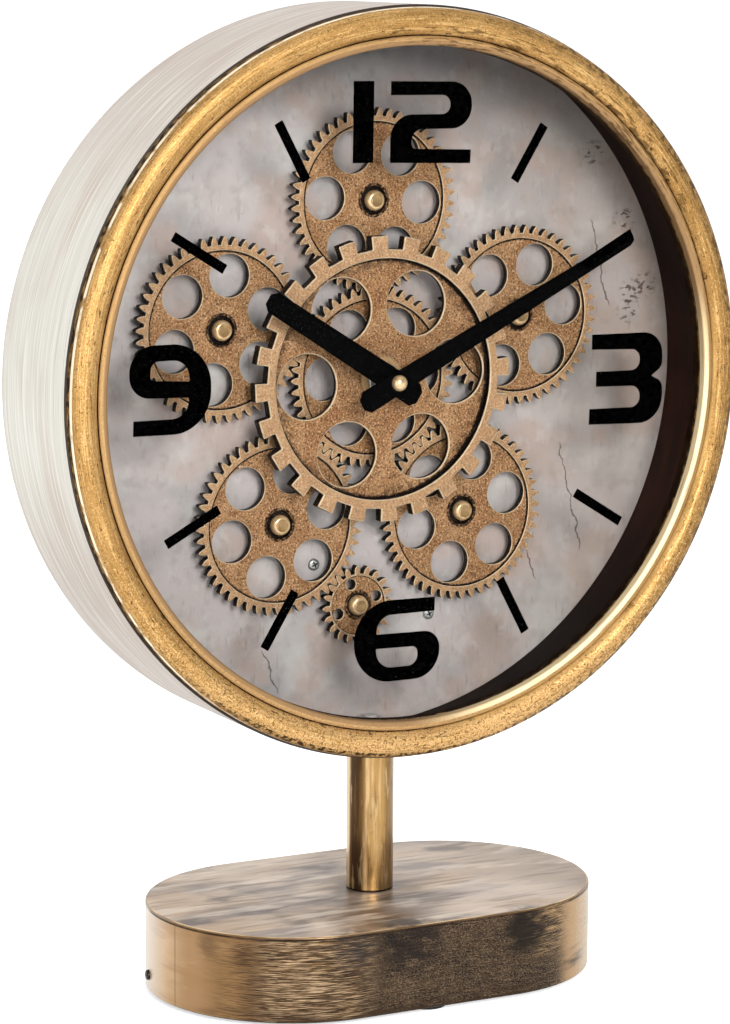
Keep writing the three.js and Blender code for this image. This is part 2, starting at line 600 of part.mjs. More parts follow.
// Quartz movement with its threaded neck, hour pipe, minute arbor, hands, setting knob and battery.
function addMovement() {
  const movementBack = dialBack + MOVEMENT_THICKNESS;
  const neckBack = dialBack + NECK_ROOT;
  const bayPlace = new THREE.Vector2(0, -MOVEMENT_BAY_DROP);
  const knobPlace = new THREE.Vector2(0, KNOB_RISE);
  const outline = roundedRectangle(MOVEMENT_SIDE, MOVEMENT_SIDE, MOVEMENT_CORNER);
  const housing = plate(outline, dialBack, movementBack)
    .subtract(rod(bore(NECK_RADIUS + PRESS_GAP), dialBack - CUT_OVERRUN, neckBack, undefined, ROUND_SEGMENTS))
    .subtract(batteryBay(dialBack, movementBack, bayPlace))
    .subtract(knobHole(movementBack, knobPlace));
  add(head, "movement_case", housing, blackPlastic);
  addBattery(head, "clock_battery", dialBack, bayPlace);

  const neckBore = bore(PIPE_RADIUS + RUNNING_GAP);
  add(head, "movement_neck", turned(ringProfile(neckBore, NECK_RADIUS, neckFront, neckBack)), brassStud);
  const neckHole = bore(NECK_RADIUS + PRESS_GAP);
  const washerFront = dialFront - NECK_WASHER_THICKNESS;
  add(head, "neck_washer", turned(ringProfile(neckHole, NECK_WASHER_RADIUS, washerFront, dialFront)), steel);
  const nutFront = washerFront - NECK_NUT_HEIGHT;
  const nut = plate(hexagon(NECK_NUT_FLATS), nutFront, washerFront, [circle(neckHole, ROUND_SEGMENTS)]);
  add(head, "neck_nut", nut, brassStud);

  const arborBack = dialBack + ARBOR_ROOT;
  const pipeBore = bore(ARBOR_RADIUS + RUNNING_GAP);
  const pipe = turned(ringProfile(pipeBore, PIPE_RADIUS, hourFront - PIPE_END, arborBack));
  add(head, "hour_pipe", pipe, brassStud);
  const arborFront = minuteFront - ARBOR_END;
  add(head, "minute_arbor", rod(ARBOR_RADIUS, arborFront, arborBack, undefined, ROUND_SEGMENTS), steel);

  const hourOutline = handOutline({
    length: HOUR_HAND_LENGTH,
    tail: HOUR_HAND_TAIL,
    tipWidth: HOUR_HAND_TIP_WIDTH,
    tailWidth: HOUR_HAND_TAIL_WIDTH,
  });
  const hourHole = circle(bore(PIPE_RADIUS + PRESS_GAP), ROUND_SEGMENTS);
  const hourBar = plate(hourOutline, hourFront, hourBack, [hourHole]);
  const hour = add(head, "hour_hand", hourBar, blackPaint);
  hour.rotation.y = radians(HOUR_HAND_TIME);
  const minuteOutline = handOutline({
    length: MINUTE_HAND_LENGTH,
    tail: MINUTE_HAND_TAIL,
    tipWidth: MINUTE_HAND_TIP_WIDTH,
    tailWidth: MINUTE_HAND_TAIL_WIDTH,
  });
  const minuteHole = circle(bore(ARBOR_RADIUS + PRESS_GAP), ROUND_SEGMENTS);
  const minuteBar = plate(minuteOutline, minuteFront, minuteBack, [minuteHole]);
  const minute = add(head, "minute_hand", minuteBar, blackPaint);
  minute.rotation.y = radians(MINUTE_HAND_TIME);

  const capBore = bore(ARBOR_RADIUS + PRESS_GAP);
  const cap = turned([
    [0, arborFront - FIT_GAP],
    [capBore, arborFront - FIT_GAP],
    [capBore, minuteFront],
    [CAP_RADIUS, minuteFront],
    ...dome(CAP_RADIUS, minuteFront - CAP_FLANK, capFront),
  ]);
  add(head, "hand_cap", cap, brassStud);

  const knobFront = movementBack + FIT_GAP;
  const ribs = circle(KNOB_RADIUS, 2 * KNOB_RIBS).map((point, i) =>
    point.setLength(KNOB_RADIUS - (i % 2) * KNOB_RIB_DEPTH),
  );
  const shaft = rod(KNOB_SHAFT_RADIUS, movementBack - KNOB_SHAFT_LENGTH, knobFront + KNOB_HEIGHT / 2);
  const knob = plate(ribs, knobFront, knobFront + KNOB_HEIGHT).add(shaft);
  add(placed(knobPlace, 0), "set_knob", knob, blackPlastic);
}

// Hole in a movement's back for the setting knob's shaft.
function knobHole(movementBack, place) {
  const radius = bore(KNOB_SHAFT_RADIUS + RUNNING_GAP, HOLE_SEGMENTS);
  return rod(radius, movementBack - KNOB_SHAFT_LENGTH - FIT_GAP, movementBack + CUT_OVERRUN, place);
}

// A bar hand that points at twelve, with cut corners at both ends.
function handOutline({ length, tail, tipWidth, tailWidth }) {
  const [tip, end] = [tipWidth / 2, tailWidth / 2];
  const right = [
    [end - HAND_CHAMFER, -tail],
    [end, HAND_CHAMFER - tail],
    [tip, length - HAND_CHAMFER],
    [tip / 2, length],
  ];
  const left = right.map(([x, y]) => [-x, y]).reverse();
  return [...right, ...left].map(([x, y]) => new THREE.Vector2(x, y));
}

// Open-backed bay for one battery that lies level.
function batteryBay(front, back, place) {
  const length = BATTERY_LENGTH + BATTERY_TIP_LENGTH + 2 * BAY_END_GAP;
  const width = 2 * (BATTERY_RADIUS + FIT_GAP);
  const depth = back - front - BAY_FLOOR + CUT_OVERRUN;
  const box = new THREE.BoxGeometry(length, depth, width);
  return solidOf(box.translate(place.x, front + BAY_FLOOR + depth / 2, place.y));
}

// A cylindrical cell with its raised terminal, lying along X.
function addBattery(parent, name, front, place) {
  const body = BATTERY_LENGTH;
  const cell = turned([
    [0, 0],
    [BATTERY_RADIUS, 0],
    [BATTERY_RADIUS, body],
    [BATTERY_TIP_RADIUS, body],
    [BATTERY_TIP_RADIUS, body + BATTERY_TIP_LENGTH],
    [0, body + BATTERY_TIP_LENGTH],
  ]);
  const mesh = add(parent, name, cell, batteryFilm);
  mesh.rotation.z = -Math.PI / 2;
  const depth = front + BAY_FLOOR + FIT_GAP + BATTERY_RADIUS;
  mesh.position.set(place.x - (body + BATTERY_TIP_LENGTH) / 2, depth, place.y);
}

// Sun gear and face gear on one sleeve about the neck, the planets on pins, and the motor's pinion.
function addGearTrain() {
  const hub = placed(new THREE.Vector2(), 0);
  const sunHole = circle(bore(SLEEVE_SUN_RADIUS + PRESS_GAP), ROUND_SEGMENTS);
  const openings = windows(PLANET_HOLES, PLANET_HUB, gearRoot(PLANET_TEETH) - PLANET_RIM, HOLE_SEGMENTS);
  const wheel = gearOutline(PLANET_TEETH);
  add(hub, "sun_gear", plate(wheel, gearFront, gearBack, [sunHole, ...openings]), bronzeGear);
  const neckBore = bore(NECK_RADIUS + RUNNING_GAP);
  const sleeve = turned([
    [neckBore, sleeveFront],
    [SLEEVE_FACE_RADIUS, sleeveFront],
    [SLEEVE_FACE_RADIUS, faceBack],
    [SLEEVE_FLANGE_RADIUS, faceBack],
    [SLEEVE_FLANGE_RADIUS, gearFront],
    [SLEEVE_SUN_RADIUS, gearFront],
    [SLEEVE_SUN_RADIUS, gearBack],
    [neckBore, gearBack],
  ]);
  add(hub, "hub_sleeve", sleeve, paleNylon);
  add(placed(new THREE.Vector2(), FACE_TURN), "face_gear", faceGear(), bronzeGear);
  const collarBore = bore(NECK_RADIUS + PRESS_GAP);
  add(head, "hub_collar", turned(ringProfile(collarBore, COLLAR_RADIUS, collarFront, collarBack)), steel);

  const recess = gearFront + PLANET_RECESS_DEPTH;
  const bossBack = dialFront - FIT_GAP;
  const pinBore = circle(bore(PIN_RADIUS + RUNNING_GAP), ROUND_SEGMENTS);
  const planet = plate(wheel, gearFront, gearBack, [pinBore, ...openings])
    .subtract(rod(PLANET_RECESS_RADIUS, gearFront - CUT_OVERRUN, recess, undefined, ROUND_SEGMENTS))
    .add(turned(ringProfile(bore(PIN_RADIUS + RUNNING_GAP), PLANET_BOSS_RADIUS, gearBack, bossBack)));
  const headBack = recess - FIT_GAP;
  const pin = turned([
    ...dome(PIN_HEAD_RADIUS, gearFront, gearFront - PIN_HEAD_RISE).reverse(),
    [PIN_HEAD_RADIUS, headBack],
    [PIN_RADIUS, headBack],
    [PIN_RADIUS, dialFront],
    [PIN_SPIGOT_RADIUS, dialFront],
    [PIN_SPIGOT_RADIUS, dialBack],
    [PIN_RADIUS, dialBack],
    [PIN_RADIUS, dialBack + PIN_RIVET_HEIGHT],
    [0, dialBack + PIN_RIVET_HEIGHT],
  ], HOLE_SEGMENTS);
  planetAngles.forEach((degrees, i) => {
    const centre = polar(planetCircle, degrees);
    add(placed(centre, planetTurn(i)), `planet_gear_${i + 1}`, planet, bronzeGear);
    add(placed(centre, 0), `planet_pin_${i + 1}`, pin, brassStud);
  });

  const shaftHole = circle(bore(MOTOR_SHAFT_RADIUS + PRESS_GAP, HOLE_SEGMENTS), HOLE_SEGMENTS);
  const smallOpenings = windows(PINION_HOLES, PINION_HUB, gearRoot(PINION_TEETH) - PINION_RIM, HOLE_SEGMENTS);
  const pinion = plate(gearOutline(PINION_TEETH), gearFront, gearBack, [shaftHole, ...smallOpenings]);
  const spindle = placed(pinionCentre, pinionTurn());
  add(spindle, "pinion_gear", pinion, bronzeGear);
  const shaftFront = gearFront - MOTOR_SHAFT_END;
  const shaft = rod(MOTOR_SHAFT_RADIUS, shaftFront, dialBack + MOTOR_SHAFT_ROOT);
  add(spindle, "motor_shaft", shaft, steel);
  const studBore = bore(MOTOR_SHAFT_RADIUS + PRESS_GAP, HOLE_SEGMENTS);
  const stud = turned([
    [0, shaftFront - FIT_GAP],
    [studBore, shaftFront - FIT_GAP],
    [studBore, gearFront],
    ...dome(PIN_HEAD_RADIUS, gearFront, gearFront - PIN_HEAD_RISE),
  ], HOLE_SEGMENTS);
  add(spindle, "pinion_stud", stud, brassStud);
}

// A planet's turn at which its gaps face the sun gear's teeth, stepped by whole teeth to place its windows.
function planetTurn(i) {
  const step = 360 / PLANET_TEETH;
  const toothSteps = PLANET_TOOTH_STEPS[i % PLANET_TOOTH_STEPS.length];
  return 2 * planetAngles[i] + 180 + step * (0.5 + toothSteps);
}

// The pinion's turn at which its teeth face the gaps of the planet that it drives.
function pinionTurn() {
  const planetStep = 360 / PLANET_TEETH;
  const pinionStep = 360 / PINION_TEETH;
  const planetPhase = (planetTurn(drivenPlanet) - PINION_DIRECTION) / planetStep;
  return PINION_DIRECTION + 180 + pinionStep * (0.5 - planetPhase);
}

// Large square-toothed wheel whose rim stands in front of a web with round windows.
function faceGear() {
  const root = FACE_TIP_RADIUS - FACE_TOOTH_HEIGHT;
  const web = root - FACE_RIM;
  const step = 360 / FACE_TEETH;
  const half = (step * FACE_TOOTH_SHARE) / 2;
  const outline = Array.from({ length: FACE_TEETH }, (_, i) => i * step).flatMap((middle) => [
    polar(root, middle - half),
    polar(FACE_TIP_RADIUS, middle - half),
    polar(FACE_TIP_RADIUS, middle + half),
    polar(root, middle + half),
  ]);
  const sleeveHole = circle(bore(SLEEVE_FACE_RADIUS + PRESS_GAP), ROUND_SEGMENTS);
  const openings = windows(FACE_HOLES, FACE_HUB, web - FACE_HOLE_MARGIN, ROUND_SEGMENTS);
  return plate(outline, faceFront, faceBack, [sleeveHole, ...openings]).subtract(
    rod(web, faceFront - CUT_OVERRUN, faceWebFront, undefined, CASE_SEGMENTS),
  );
}

function motorScrewPlaces() {
  return [-1, 1].map((side) => new THREE.Vector2((side * MOTOR_SCREW_SPAN) / 2, 0));
}

// A place on the motor, in the dial's plane.
function fromMotor(place) {
  return place.clone().rotateAround(new THREE.Vector2(), radians(MOTOR_TURN)).add(motorCentre);
}

// Sealed gear motor behind the dial, with its battery and the two screws that show on the dial.
function addMotor() {
  const unit = placed(motorCentre, MOTOR_TURN);
  const motorBack = dialBack + MOTOR_THICKNESS;
  const bayPlace = new THREE.Vector2(0, MOTOR_BAY_RISE);
  const shaftHole = bore(MOTOR_SHAFT_RADIUS + RUNNING_GAP, HOLE_SEGMENTS);
  const screwHole = bore(MOTOR_SCREW_RADIUS + PRESS_GAP, HOLE_SEGMENTS);
  const screwEnd = dialBack + MOTOR_SCREW_LENGTH;
  let housing = plate(roundedRectangle(MOTOR_WIDTH, MOTOR_HEIGHT, MOTOR_CORNER), dialBack, motorBack)
    .subtract(batteryBay(dialBack, motorBack, bayPlace))
    .subtract(rod(shaftHole, dialBack - CUT_OVERRUN, dialBack + MOTOR_SHAFT_ROOT + FIT_GAP, motorShaft));
  motorScrewPlaces().forEach((place) => {
    housing = housing.subtract(rod(screwHole, dialBack - CUT_OVERRUN, screwEnd + FIT_GAP, place));
  });
  add(unit, "motor_case", housing, blackPlastic);
  addBattery(unit, "motor_battery", dialBack, bayPlace);

  const headFront = dialFront - MOTOR_SCREW_HEAD_HEIGHT;
  const screw = turned([
    ...dome(MOTOR_SCREW_HEAD_RADIUS, dialFront, headFront).reverse(),
    [MOTOR_SCREW_RADIUS, dialFront],
    [MOTOR_SCREW_RADIUS, screwEnd],
    [0, screwEnd],
  ], HOLE_SEGMENTS);
  motorScrewPlaces().forEach((place, i) => {
    add(unit, `motor_screw_${i + 1}`, screw, steel).position.set(place.x, 0, place.y);
  });
}

export default model;
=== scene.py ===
"""Looks of the gear table clock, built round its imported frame.

Lengths are millimetres and angles are degrees. Meshes are written in metres. +Z is up and the dial faces -Y.
"""
import json
import logging
from dataclasses import dataclass, field, replace
from enum import Enum
from typing import Any, Sequence

import bmesh
import bpy
import numpy as np
from mathutils import Matrix, Vector
from mathutils.geometry import tessellate_polygon

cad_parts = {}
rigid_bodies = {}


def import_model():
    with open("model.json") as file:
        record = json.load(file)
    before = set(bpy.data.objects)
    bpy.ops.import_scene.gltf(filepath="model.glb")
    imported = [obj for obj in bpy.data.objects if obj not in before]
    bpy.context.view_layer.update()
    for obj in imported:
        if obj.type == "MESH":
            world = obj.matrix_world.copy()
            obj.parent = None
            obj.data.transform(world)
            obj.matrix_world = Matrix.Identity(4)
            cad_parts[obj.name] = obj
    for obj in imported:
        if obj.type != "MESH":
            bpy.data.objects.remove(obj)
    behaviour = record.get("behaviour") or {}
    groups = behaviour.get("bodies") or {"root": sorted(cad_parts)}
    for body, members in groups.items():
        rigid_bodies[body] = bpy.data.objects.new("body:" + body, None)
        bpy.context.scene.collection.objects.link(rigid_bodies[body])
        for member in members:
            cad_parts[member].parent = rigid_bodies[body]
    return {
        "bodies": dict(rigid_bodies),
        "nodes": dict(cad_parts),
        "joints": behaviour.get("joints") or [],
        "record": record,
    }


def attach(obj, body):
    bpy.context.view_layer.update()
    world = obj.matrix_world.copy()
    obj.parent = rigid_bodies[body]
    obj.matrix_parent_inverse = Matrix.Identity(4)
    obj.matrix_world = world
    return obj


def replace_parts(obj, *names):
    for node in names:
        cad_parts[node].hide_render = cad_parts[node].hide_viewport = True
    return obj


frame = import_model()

Pair = tuple[float, float]
Point = tuple[float, float, float]
Profile = Sequence[Pair]
Socket = bpy.types.NodeSocket

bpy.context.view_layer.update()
LOG = logging.getLogger("gear_table_clock")
MM = 0.001
CENTRE_HEIGHT = 259.4
SHARP_DEGREES = 38.0
WELD = 2e-7
# Steps of a full turn on large, middling and small rounds.
FINE, ROUND, SMALL = 256, 96, 48
# Radius at which marks that run round the dial have their stated length, and the share of the depth in their place.
RIM, FLANK = 150.0, 0.7
# Every screw's head and shank, then shares of the head: its flat, its rim, and its recess's arm, half width and depth.
HEAD_HEIGHT, SHANK_RADIUS = 1.4, 1.5
HEAD_FLAT, HEAD_RIM, CROSS_ARM, CROSS_HALF, CROSS_DEPTH = 0.55, 0.25, 0.5, 0.13, 0.6
# Steps of a path that are shorter are dropped, and a mitre's divisor is no smaller.
SHORTEST_STEP, LEAST_DIVISOR = 1e-4, 0.5
# Bends of a crack to the metre, about 7 mm each, and their finer octaves.
CRACK_BENDS, CRACK_DETAIL = 140.0, 5.0
HOUR_DEGREES = 30
MIRRORED = ("Is Glossy Ray", "Is Transmission Ray")


class WearAndShade(Enum):
    """How worn a patch of a surface is, and where painted shade and painted highlights lie on it, as the value that its
    faces carry.
    """

    # Near black: grime and dark joints, and painted shade on walls, recesses, tooth flanks and creases.
    SHADE_AND_GRIME = -1.0
    # Dark bands: painted shade at the foot of steps, under rims and beside grooves, with some grime.
    SHADE_AND_STAIN = -0.5
    SCUFF = -0.2
    NONE = 0.0
    # Painted highlight on the bezel's outer shoulder.
    PAINTED_HIGHLIGHT = 0.15
    TRIM = 0.5
    EDGE = 1.0


class Pattern(Enum):
    """Kinds of pattern that say where a layer of colour shows."""

    NOISE = "cloudy noise"
    ROUND = "noise drawn out round the dial's axis"
    CRACK = "distance from a wandering line"
    WEAR_AND_SHADE = "the faces' wear value"
    PLACE = "distance along a direction"
    LINE = "distance from a plane"
    SPOT = "distance from a point"


class Axes(Enum):
    """Directions of a piece's own u, v and w axes."""

    DIAL = ((1, 0, 0), (0, 0, 1), (0, 1, 0))
    PLAN = ((1, 0, 0), (0, 1, 0), (0, 0, 1))


def linear(colour: str) -> tuple[float, ...]:
    """Turns an sRGB colour to linear light.

    Args:
        colour: six hexadecimal digits after a hash sign.

    Returns:
        Red, green, blue and a full alpha.
    """
    parts = np.array([int(colour[i:i + 2], 16) for i in (1, 3, 5)]) / 255
    steep = ((parts + 0.055) / 1.055) ** 2.4
    return (*np.where(parts <= 0.04045, parts / 12.92, steep).tolist(), 1.0)


def pose(axes: Sequence[Point] = Axes.PLAN.value, at: Point = (0, 0, 0), turn: float = 0.0) -> np.ndarray:
    """The matrix from a piece's own frame to the clock's.

    The piece is turned in its u-v plane from u towards v, then moved.

    Args:
        axes: directions of u, v and w.
        at: where the piece's origin goes.
        turn: angle of the turn.

    Returns:
        A 4 by 4 matrix.
    """
    made = np.eye(4)
    c, s = np.cos(np.radians(turn)), np.sin(np.radians(turn))
    made[:3, :3] = np.array(axes, float).T @ np.array([[c, -s, 0], [s, c, 0], [0, 0, 1]])
    made[:3, 3] = at
    return made


def dial_pose(x: float = 0.0, z: float = 0.0, turn: float = 0.0) -> np.ndarray:
    """A pose in the dial's plane, with the place counted from the dial's middle."""
    return pose(Axes.DIAL.value, (x, 0, CENTRE_HEIGHT + z), turn)


def polar(radius: float, degrees: float) -> Pair:
    """A point at a distance and an angle, anticlockwise from u."""
    return radius * float(np.cos(np.radians(degrees))), radius * float(np.sin(np.radians(degrees)))


def arc(middle: Pair, halves: Pair, start: float, end: float, count: int) -> Profile:
    """Points on an elliptical arc: middle + halves * (cos t, sin t).

    Args:
        middle: the ellipse's middle.
        halves: its half widths.
        start: first angle t.
        end: last angle t.
        count: how many points.

    Returns:
        The points in order.
    """
    t = np.radians(np.linspace(start, end, count))
    points = np.array(middle) + np.stack([np.cos(t), np.sin(t)], axis=1) * np.array(halves)
    return [tuple(p) for p in points.round(6).tolist()]


def ring(profile: Profile, centre: Pair = (0, 0), segments: int = ROUND) -> np.ndarray:
    """Turns a profile about an axis along w.

    Each point (r, w) gives the row centre + r (cos t, sin t), w, with t in equal steps of a full turn.

    Args:
        profile: radii and depths.
        centre: where the axis stands in the u-v plane.
        segments: steps of a full turn.

    Returns:
        Rows of points, one row for each point of the profile.
    """
    r, w = np.asarray(profile, float).T
    t = np.linspace(0, 2 * np.pi, segments, endpoint=False)
    u = centre[0] + np.outer(r, np.cos(t))
    v = centre[1] + np.outer(r, np.sin(t))
    return np.stack([u, v, np.broadcast_to(w[:, None], u.shape)], axis=-1)


def circle(radius: float, centre: Pair = (0, 0), segments: int = SMALL) -> np.ndarray:
    """A closed round path, anticlockwise."""
    return ring([(radius, 0)], centre, segments)[0][:, :2]


def filleted(corners: Sequence[Point], steps: int = 8) -> np.ndarray:
    """Rounds the corners of a polygon by true arcs.

    A corner's arc runs between the points at radius / tan(half angle) along its edges, as the rational quadratic
    curve whose middle weight is the sine of half the corner's angle.

    Args:
        corners: u, v and radius of each corner, where a radius of 0 leaves it sharp.
        steps: steps of each arc.

    Returns:
        The closed path, anticlockwise.
    """
    data = np.asarray(corners, float)
    at, radius = data[:, :2], data[:, 2]
    behind, ahead = np.roll(at, 1, axis=0) - at, np.roll(at, -1, axis=0) - at
    behind = behind / np.linalg.norm(behind, axis=1, keepdims=True)
    ahead = ahead / np.linalg.norm(ahead, axis=1, keepdims=True)
    half = np.arccos(np.clip((behind * ahead).sum(axis=1), -1, 1)) / 2
    reach = (radius / np.tan(half))[:, None]
    start, end = at + behind * reach, at + ahead * reach
    s = np.linspace(0, 1, steps + 1)[None, :, None]
    a, b, c = (1 - s) ** 2, 2 * np.sin(half)[:, None, None] * s * (1 - s), s ** 2
    path = ((a * start[:, None] + b * at[:, None] + c * end[:, None]) / (a + b + c)).reshape(-1, 2)
    path = path[np.linalg.norm(path - np.roll(path, 1, axis=0), axis=1) > SHORTEST_STEP]
    after = np.roll(path, -1, axis=0)
    area = (path[:, 0] * after[:, 1] - after[:, 0] * path[:, 1]).sum()
    return path if area > 0 else path[::-1]


def rectangle(width: float, height: float, radius: float, steps: int = 8) -> np.ndarray:
    """A rectangle with round corners about its middle."""
    u, v = width / 2, height / 2
    return filleted([(u, v, radius), (-u, v, radius), (-u, -v, radius), (u, -v, radius)], steps)


def carried(path: np.ndarray, profile: Profile) -> np.ndarray:
    """Carries a profile of (inset, depth) along a closed path.

    Each point moves to the left of the path along the mitre of its two edges: (a + b) / (1 + a . b), where a and
    b are the edges' unit normals.

    Args:
        path: closed path, with the solid on its left.
        profile: insets and depths.

    Returns:
        Rows of points, one row for each point of the profile.
    """
    edge = np.roll(path, -1, axis=0) - path
    edge = edge / np.linalg.norm(edge, axis=1, keepdims=True)
    after = np.stack([-edge[:, 1], edge[:, 0]], axis=1)
    before = np.roll(after, 1, axis=0)
    mitre = (after + before) / (1 + (after * before).sum(axis=1, keepdims=True)).clip(LEAST_DIVISOR)
    inset, depth = np.asarray(profile, float).T
    flat = path[None] + inset[:, None, None] * mitre[None]
    return np.concatenate([flat, np.broadcast_to(depth[:, None, None], flat.shape[:2] + (1,))], axis=2)


@dataclass
class Surface:
    """Patches of faces in a piece's own frame that are welded into one closed mesh.

    Attributes:
        place: matrix from the piece's frame to the clock's.
        points: each patch's points.
        faces: each face's corners, as numbers of points.
        wear_and_shade: each face's wear value.
    """

    place: np.ndarray
    points: list[np.ndarray] = field(default_factory=list)
    faces: list[list[int]] = field(default_factory=list)
    wear_and_shade: list[float] = field(default_factory=list)

    def _keep(self, points: np.ndarray, faces: np.ndarray, wear_and_shade: Sequence[float]) -> None:
        """Adds a patch.

        Args:
            points: its points.
            faces: its faces, as numbers of its own points.
            wear_and_shade: its faces' wear values.
        """
        start = sum(map(len, self.points))
        self.points.append(points.reshape(-1, 3))
        self.faces.extend((faces + start).tolist())
        self.wear_and_shade.extend(wear_and_shade)

    def rows(self, rows: np.ndarray, wear_and_shade: Sequence[WearAndShade] | WearAndShade = WearAndShade.NONE) -> np.ndarray:
        """Adds the skin between neighbouring closed rows.

        Args:
            rows: rows of points.
            wear_and_shade: one value, or one for each strip between two rows.

        Returns:
            The rows, so that a flat face can end on them.
        """
        strips, length = rows.shape[0] - 1, rows.shape[1]
        index = np.arange(rows.shape[0] * length).reshape(rows.shape[:2])
        beside = np.roll(index, -1, axis=1)
        quads = np.stack([index[:-1], beside[:-1], beside[1:], index[1:]], axis=-1).reshape(-1, 4)
        values = [wear_and_shade.value] * strips if isinstance(wear_and_shade, WearAndShade) else [w.value for w in wear_and_shade]
        self._keep(rows, quads, np.repeat(values, length).tolist())
        return rows

    def flat(self, loops: Sequence[np.ndarray], wear_and_shade: WearAndShade = WearAndShade.NONE) -> None:
        """Adds a flat face inside the first loop, with the other loops as holes."""
        triangles = np.array(tessellate_polygon([loop.tolist() for loop in loops]))
        self._keep(np.concatenate(loops), triangles, [wear_and_shade.value] * len(triangles))

    def plate(self, outline: np.ndarray, span: Pair, bevel: float, holes: Sequence[np.ndarray] = ()) -> "Surface":
        """Adds a plate with bevelled edges.

        Args:
            outline: closed path of the edge, anticlockwise.
            span: depths of the front and the back face.
            bevel: width of the bevels.
            holes: closed paths of the holes, anticlockwise.

        Returns:
            The surface itself.
        """
        front, back = span
        profile = [(bevel, front), (0, front + bevel), (0, back - bevel), (bevel, back)]
        paths = [outline, *[hole[::-1] for hole in holes]]
        skins = [self.rows(carried(path, profile), (WearAndShade.EDGE, WearAndShade.NONE, WearAndShade.EDGE)) for path in paths]
        self.flat([skin[0] for skin in skins])
        self.flat([skin[-1] for skin in skins])
        return self

    def lathe(self, profile: Profile, wear_and_shade: Sequence[WearAndShade] | WearAndShade = WearAndShade.NONE, segments: int = ROUND) -> "Surface":
        """Adds a profile turned about w, which ends on the axis or closes on itself."""
        self.rows(ring(profile, segments=segments), wear_and_shade)
        return self

    def screw(self, radius: float, seat: float, end: float) -> "Surface":
        """Adds a pan-head screw with a cross recess.

        Args:
            radius: the head's radius.
            seat: depth of the head's seat.
            end: depth of the shank's end, on the other side of the seat than the head.

        Returns:
            The surface itself.
        """
        height = float(np.copysign(HEAD_HEIGHT, seat - end))
        top, flat = seat + height, HEAD_FLAT * radius
        dome = arc((flat, seat + HEAD_RIM * height), (radius - flat, (1 - HEAD_RIM) * height), 0, 90, count=10)
        shank = [(0, end), (SHANK_RADIUS, end), (SHANK_RADIUS, seat), (radius, seat)]
        skin = self.rows(ring([*shank, *dome], segments=SMALL))
        arm, half = CROSS_ARM * radius, CROSS_HALF * radius
        corner = [(arm, half), (half, half), (half, arm)]
        turned = [(u * c - v * s, u * s + v * c, 0.0) for c, s in ((1, 0), (0, 1), (-1, 0), (0, -1)) for u, v in corner]
        cross = carried(filleted(turned), [(0, top), (0, top - CROSS_DEPTH * height)])
        # The cross recess is painted dark as shade.
        self.rows(cross, WearAndShade.SHADE_AND_GRIME)
        self.flat([skin[-1], cross[0]])
        self.flat([cross[-1]], WearAndShade.SHADE_AND_GRIME)
        return self

    def mesh(self, name: str) -> bpy.types.Mesh:
        """Welds the patches into a mesh.

        Args:
            name: the mesh's name.

        Returns:
            A closed mesh with outward faces, smooth but for its sharp edges.
        """
        points = (np.concatenate(self.points) @ self.place[:3, :3].T + self.place[:3, 3]) * MM
        made = bpy.data.meshes.new(name)
        made.from_pydata(points.tolist(), [], self.faces)
        made.attributes.new("wear_and_shade", "FLOAT", "FACE").data.foreach_set("value", np.array(self.wear_and_shade, np.float32))
        work = bmesh.new()
        work.from_mesh(made)
        bmesh.ops.remove_doubles(work, verts=work.verts, dist=WELD)
        bmesh.ops.dissolve_degenerate(work, edges=work.edges, dist=WELD)
        bmesh.ops.recalc_face_normals(work, faces=work.faces)
        work.to_mesh(made)
        work.free()
        made.shade_smooth()
        made.set_sharp_from_angle(angle=np.radians(SHARP_DEGREES))
        return made


@dataclass(frozen=True)
class Mask:
    """Where a layer shows, from 0 to its strength.

    Attributes:
        pattern: kind of pattern.
        low: pattern value at which the layer begins.
        high: pattern value at which it is full. It may lie below low.
        strength: the layer's share where it is full.
        size: size of the pattern along X, Y and Z, or a direction for PLACE, LINE and CRACK, or a point for SPOT, or
            for ROUND the sizes along and across the turn.
        detail: finer octaves of noise, or how far a CRACK wanders.
        shift: moves the pattern, so that two of one size differ. For LINE and CRACK it is where the line stands.
        within: a mask that this one is multiplied by.
    """

    pattern: Pattern
    low: float
    high: float
    strength: float = 1.0
    size: Point = (1.0, 1.0, 1.0)
    detail: float = 3.0
    shift: float = 0.0
    within: "Mask | None" = None

    def __and__(self, other: "Mask") -> "Mask":
        """This mask multiplied by another one."""
        return replace(self, within=self.within & other if self.within else other)


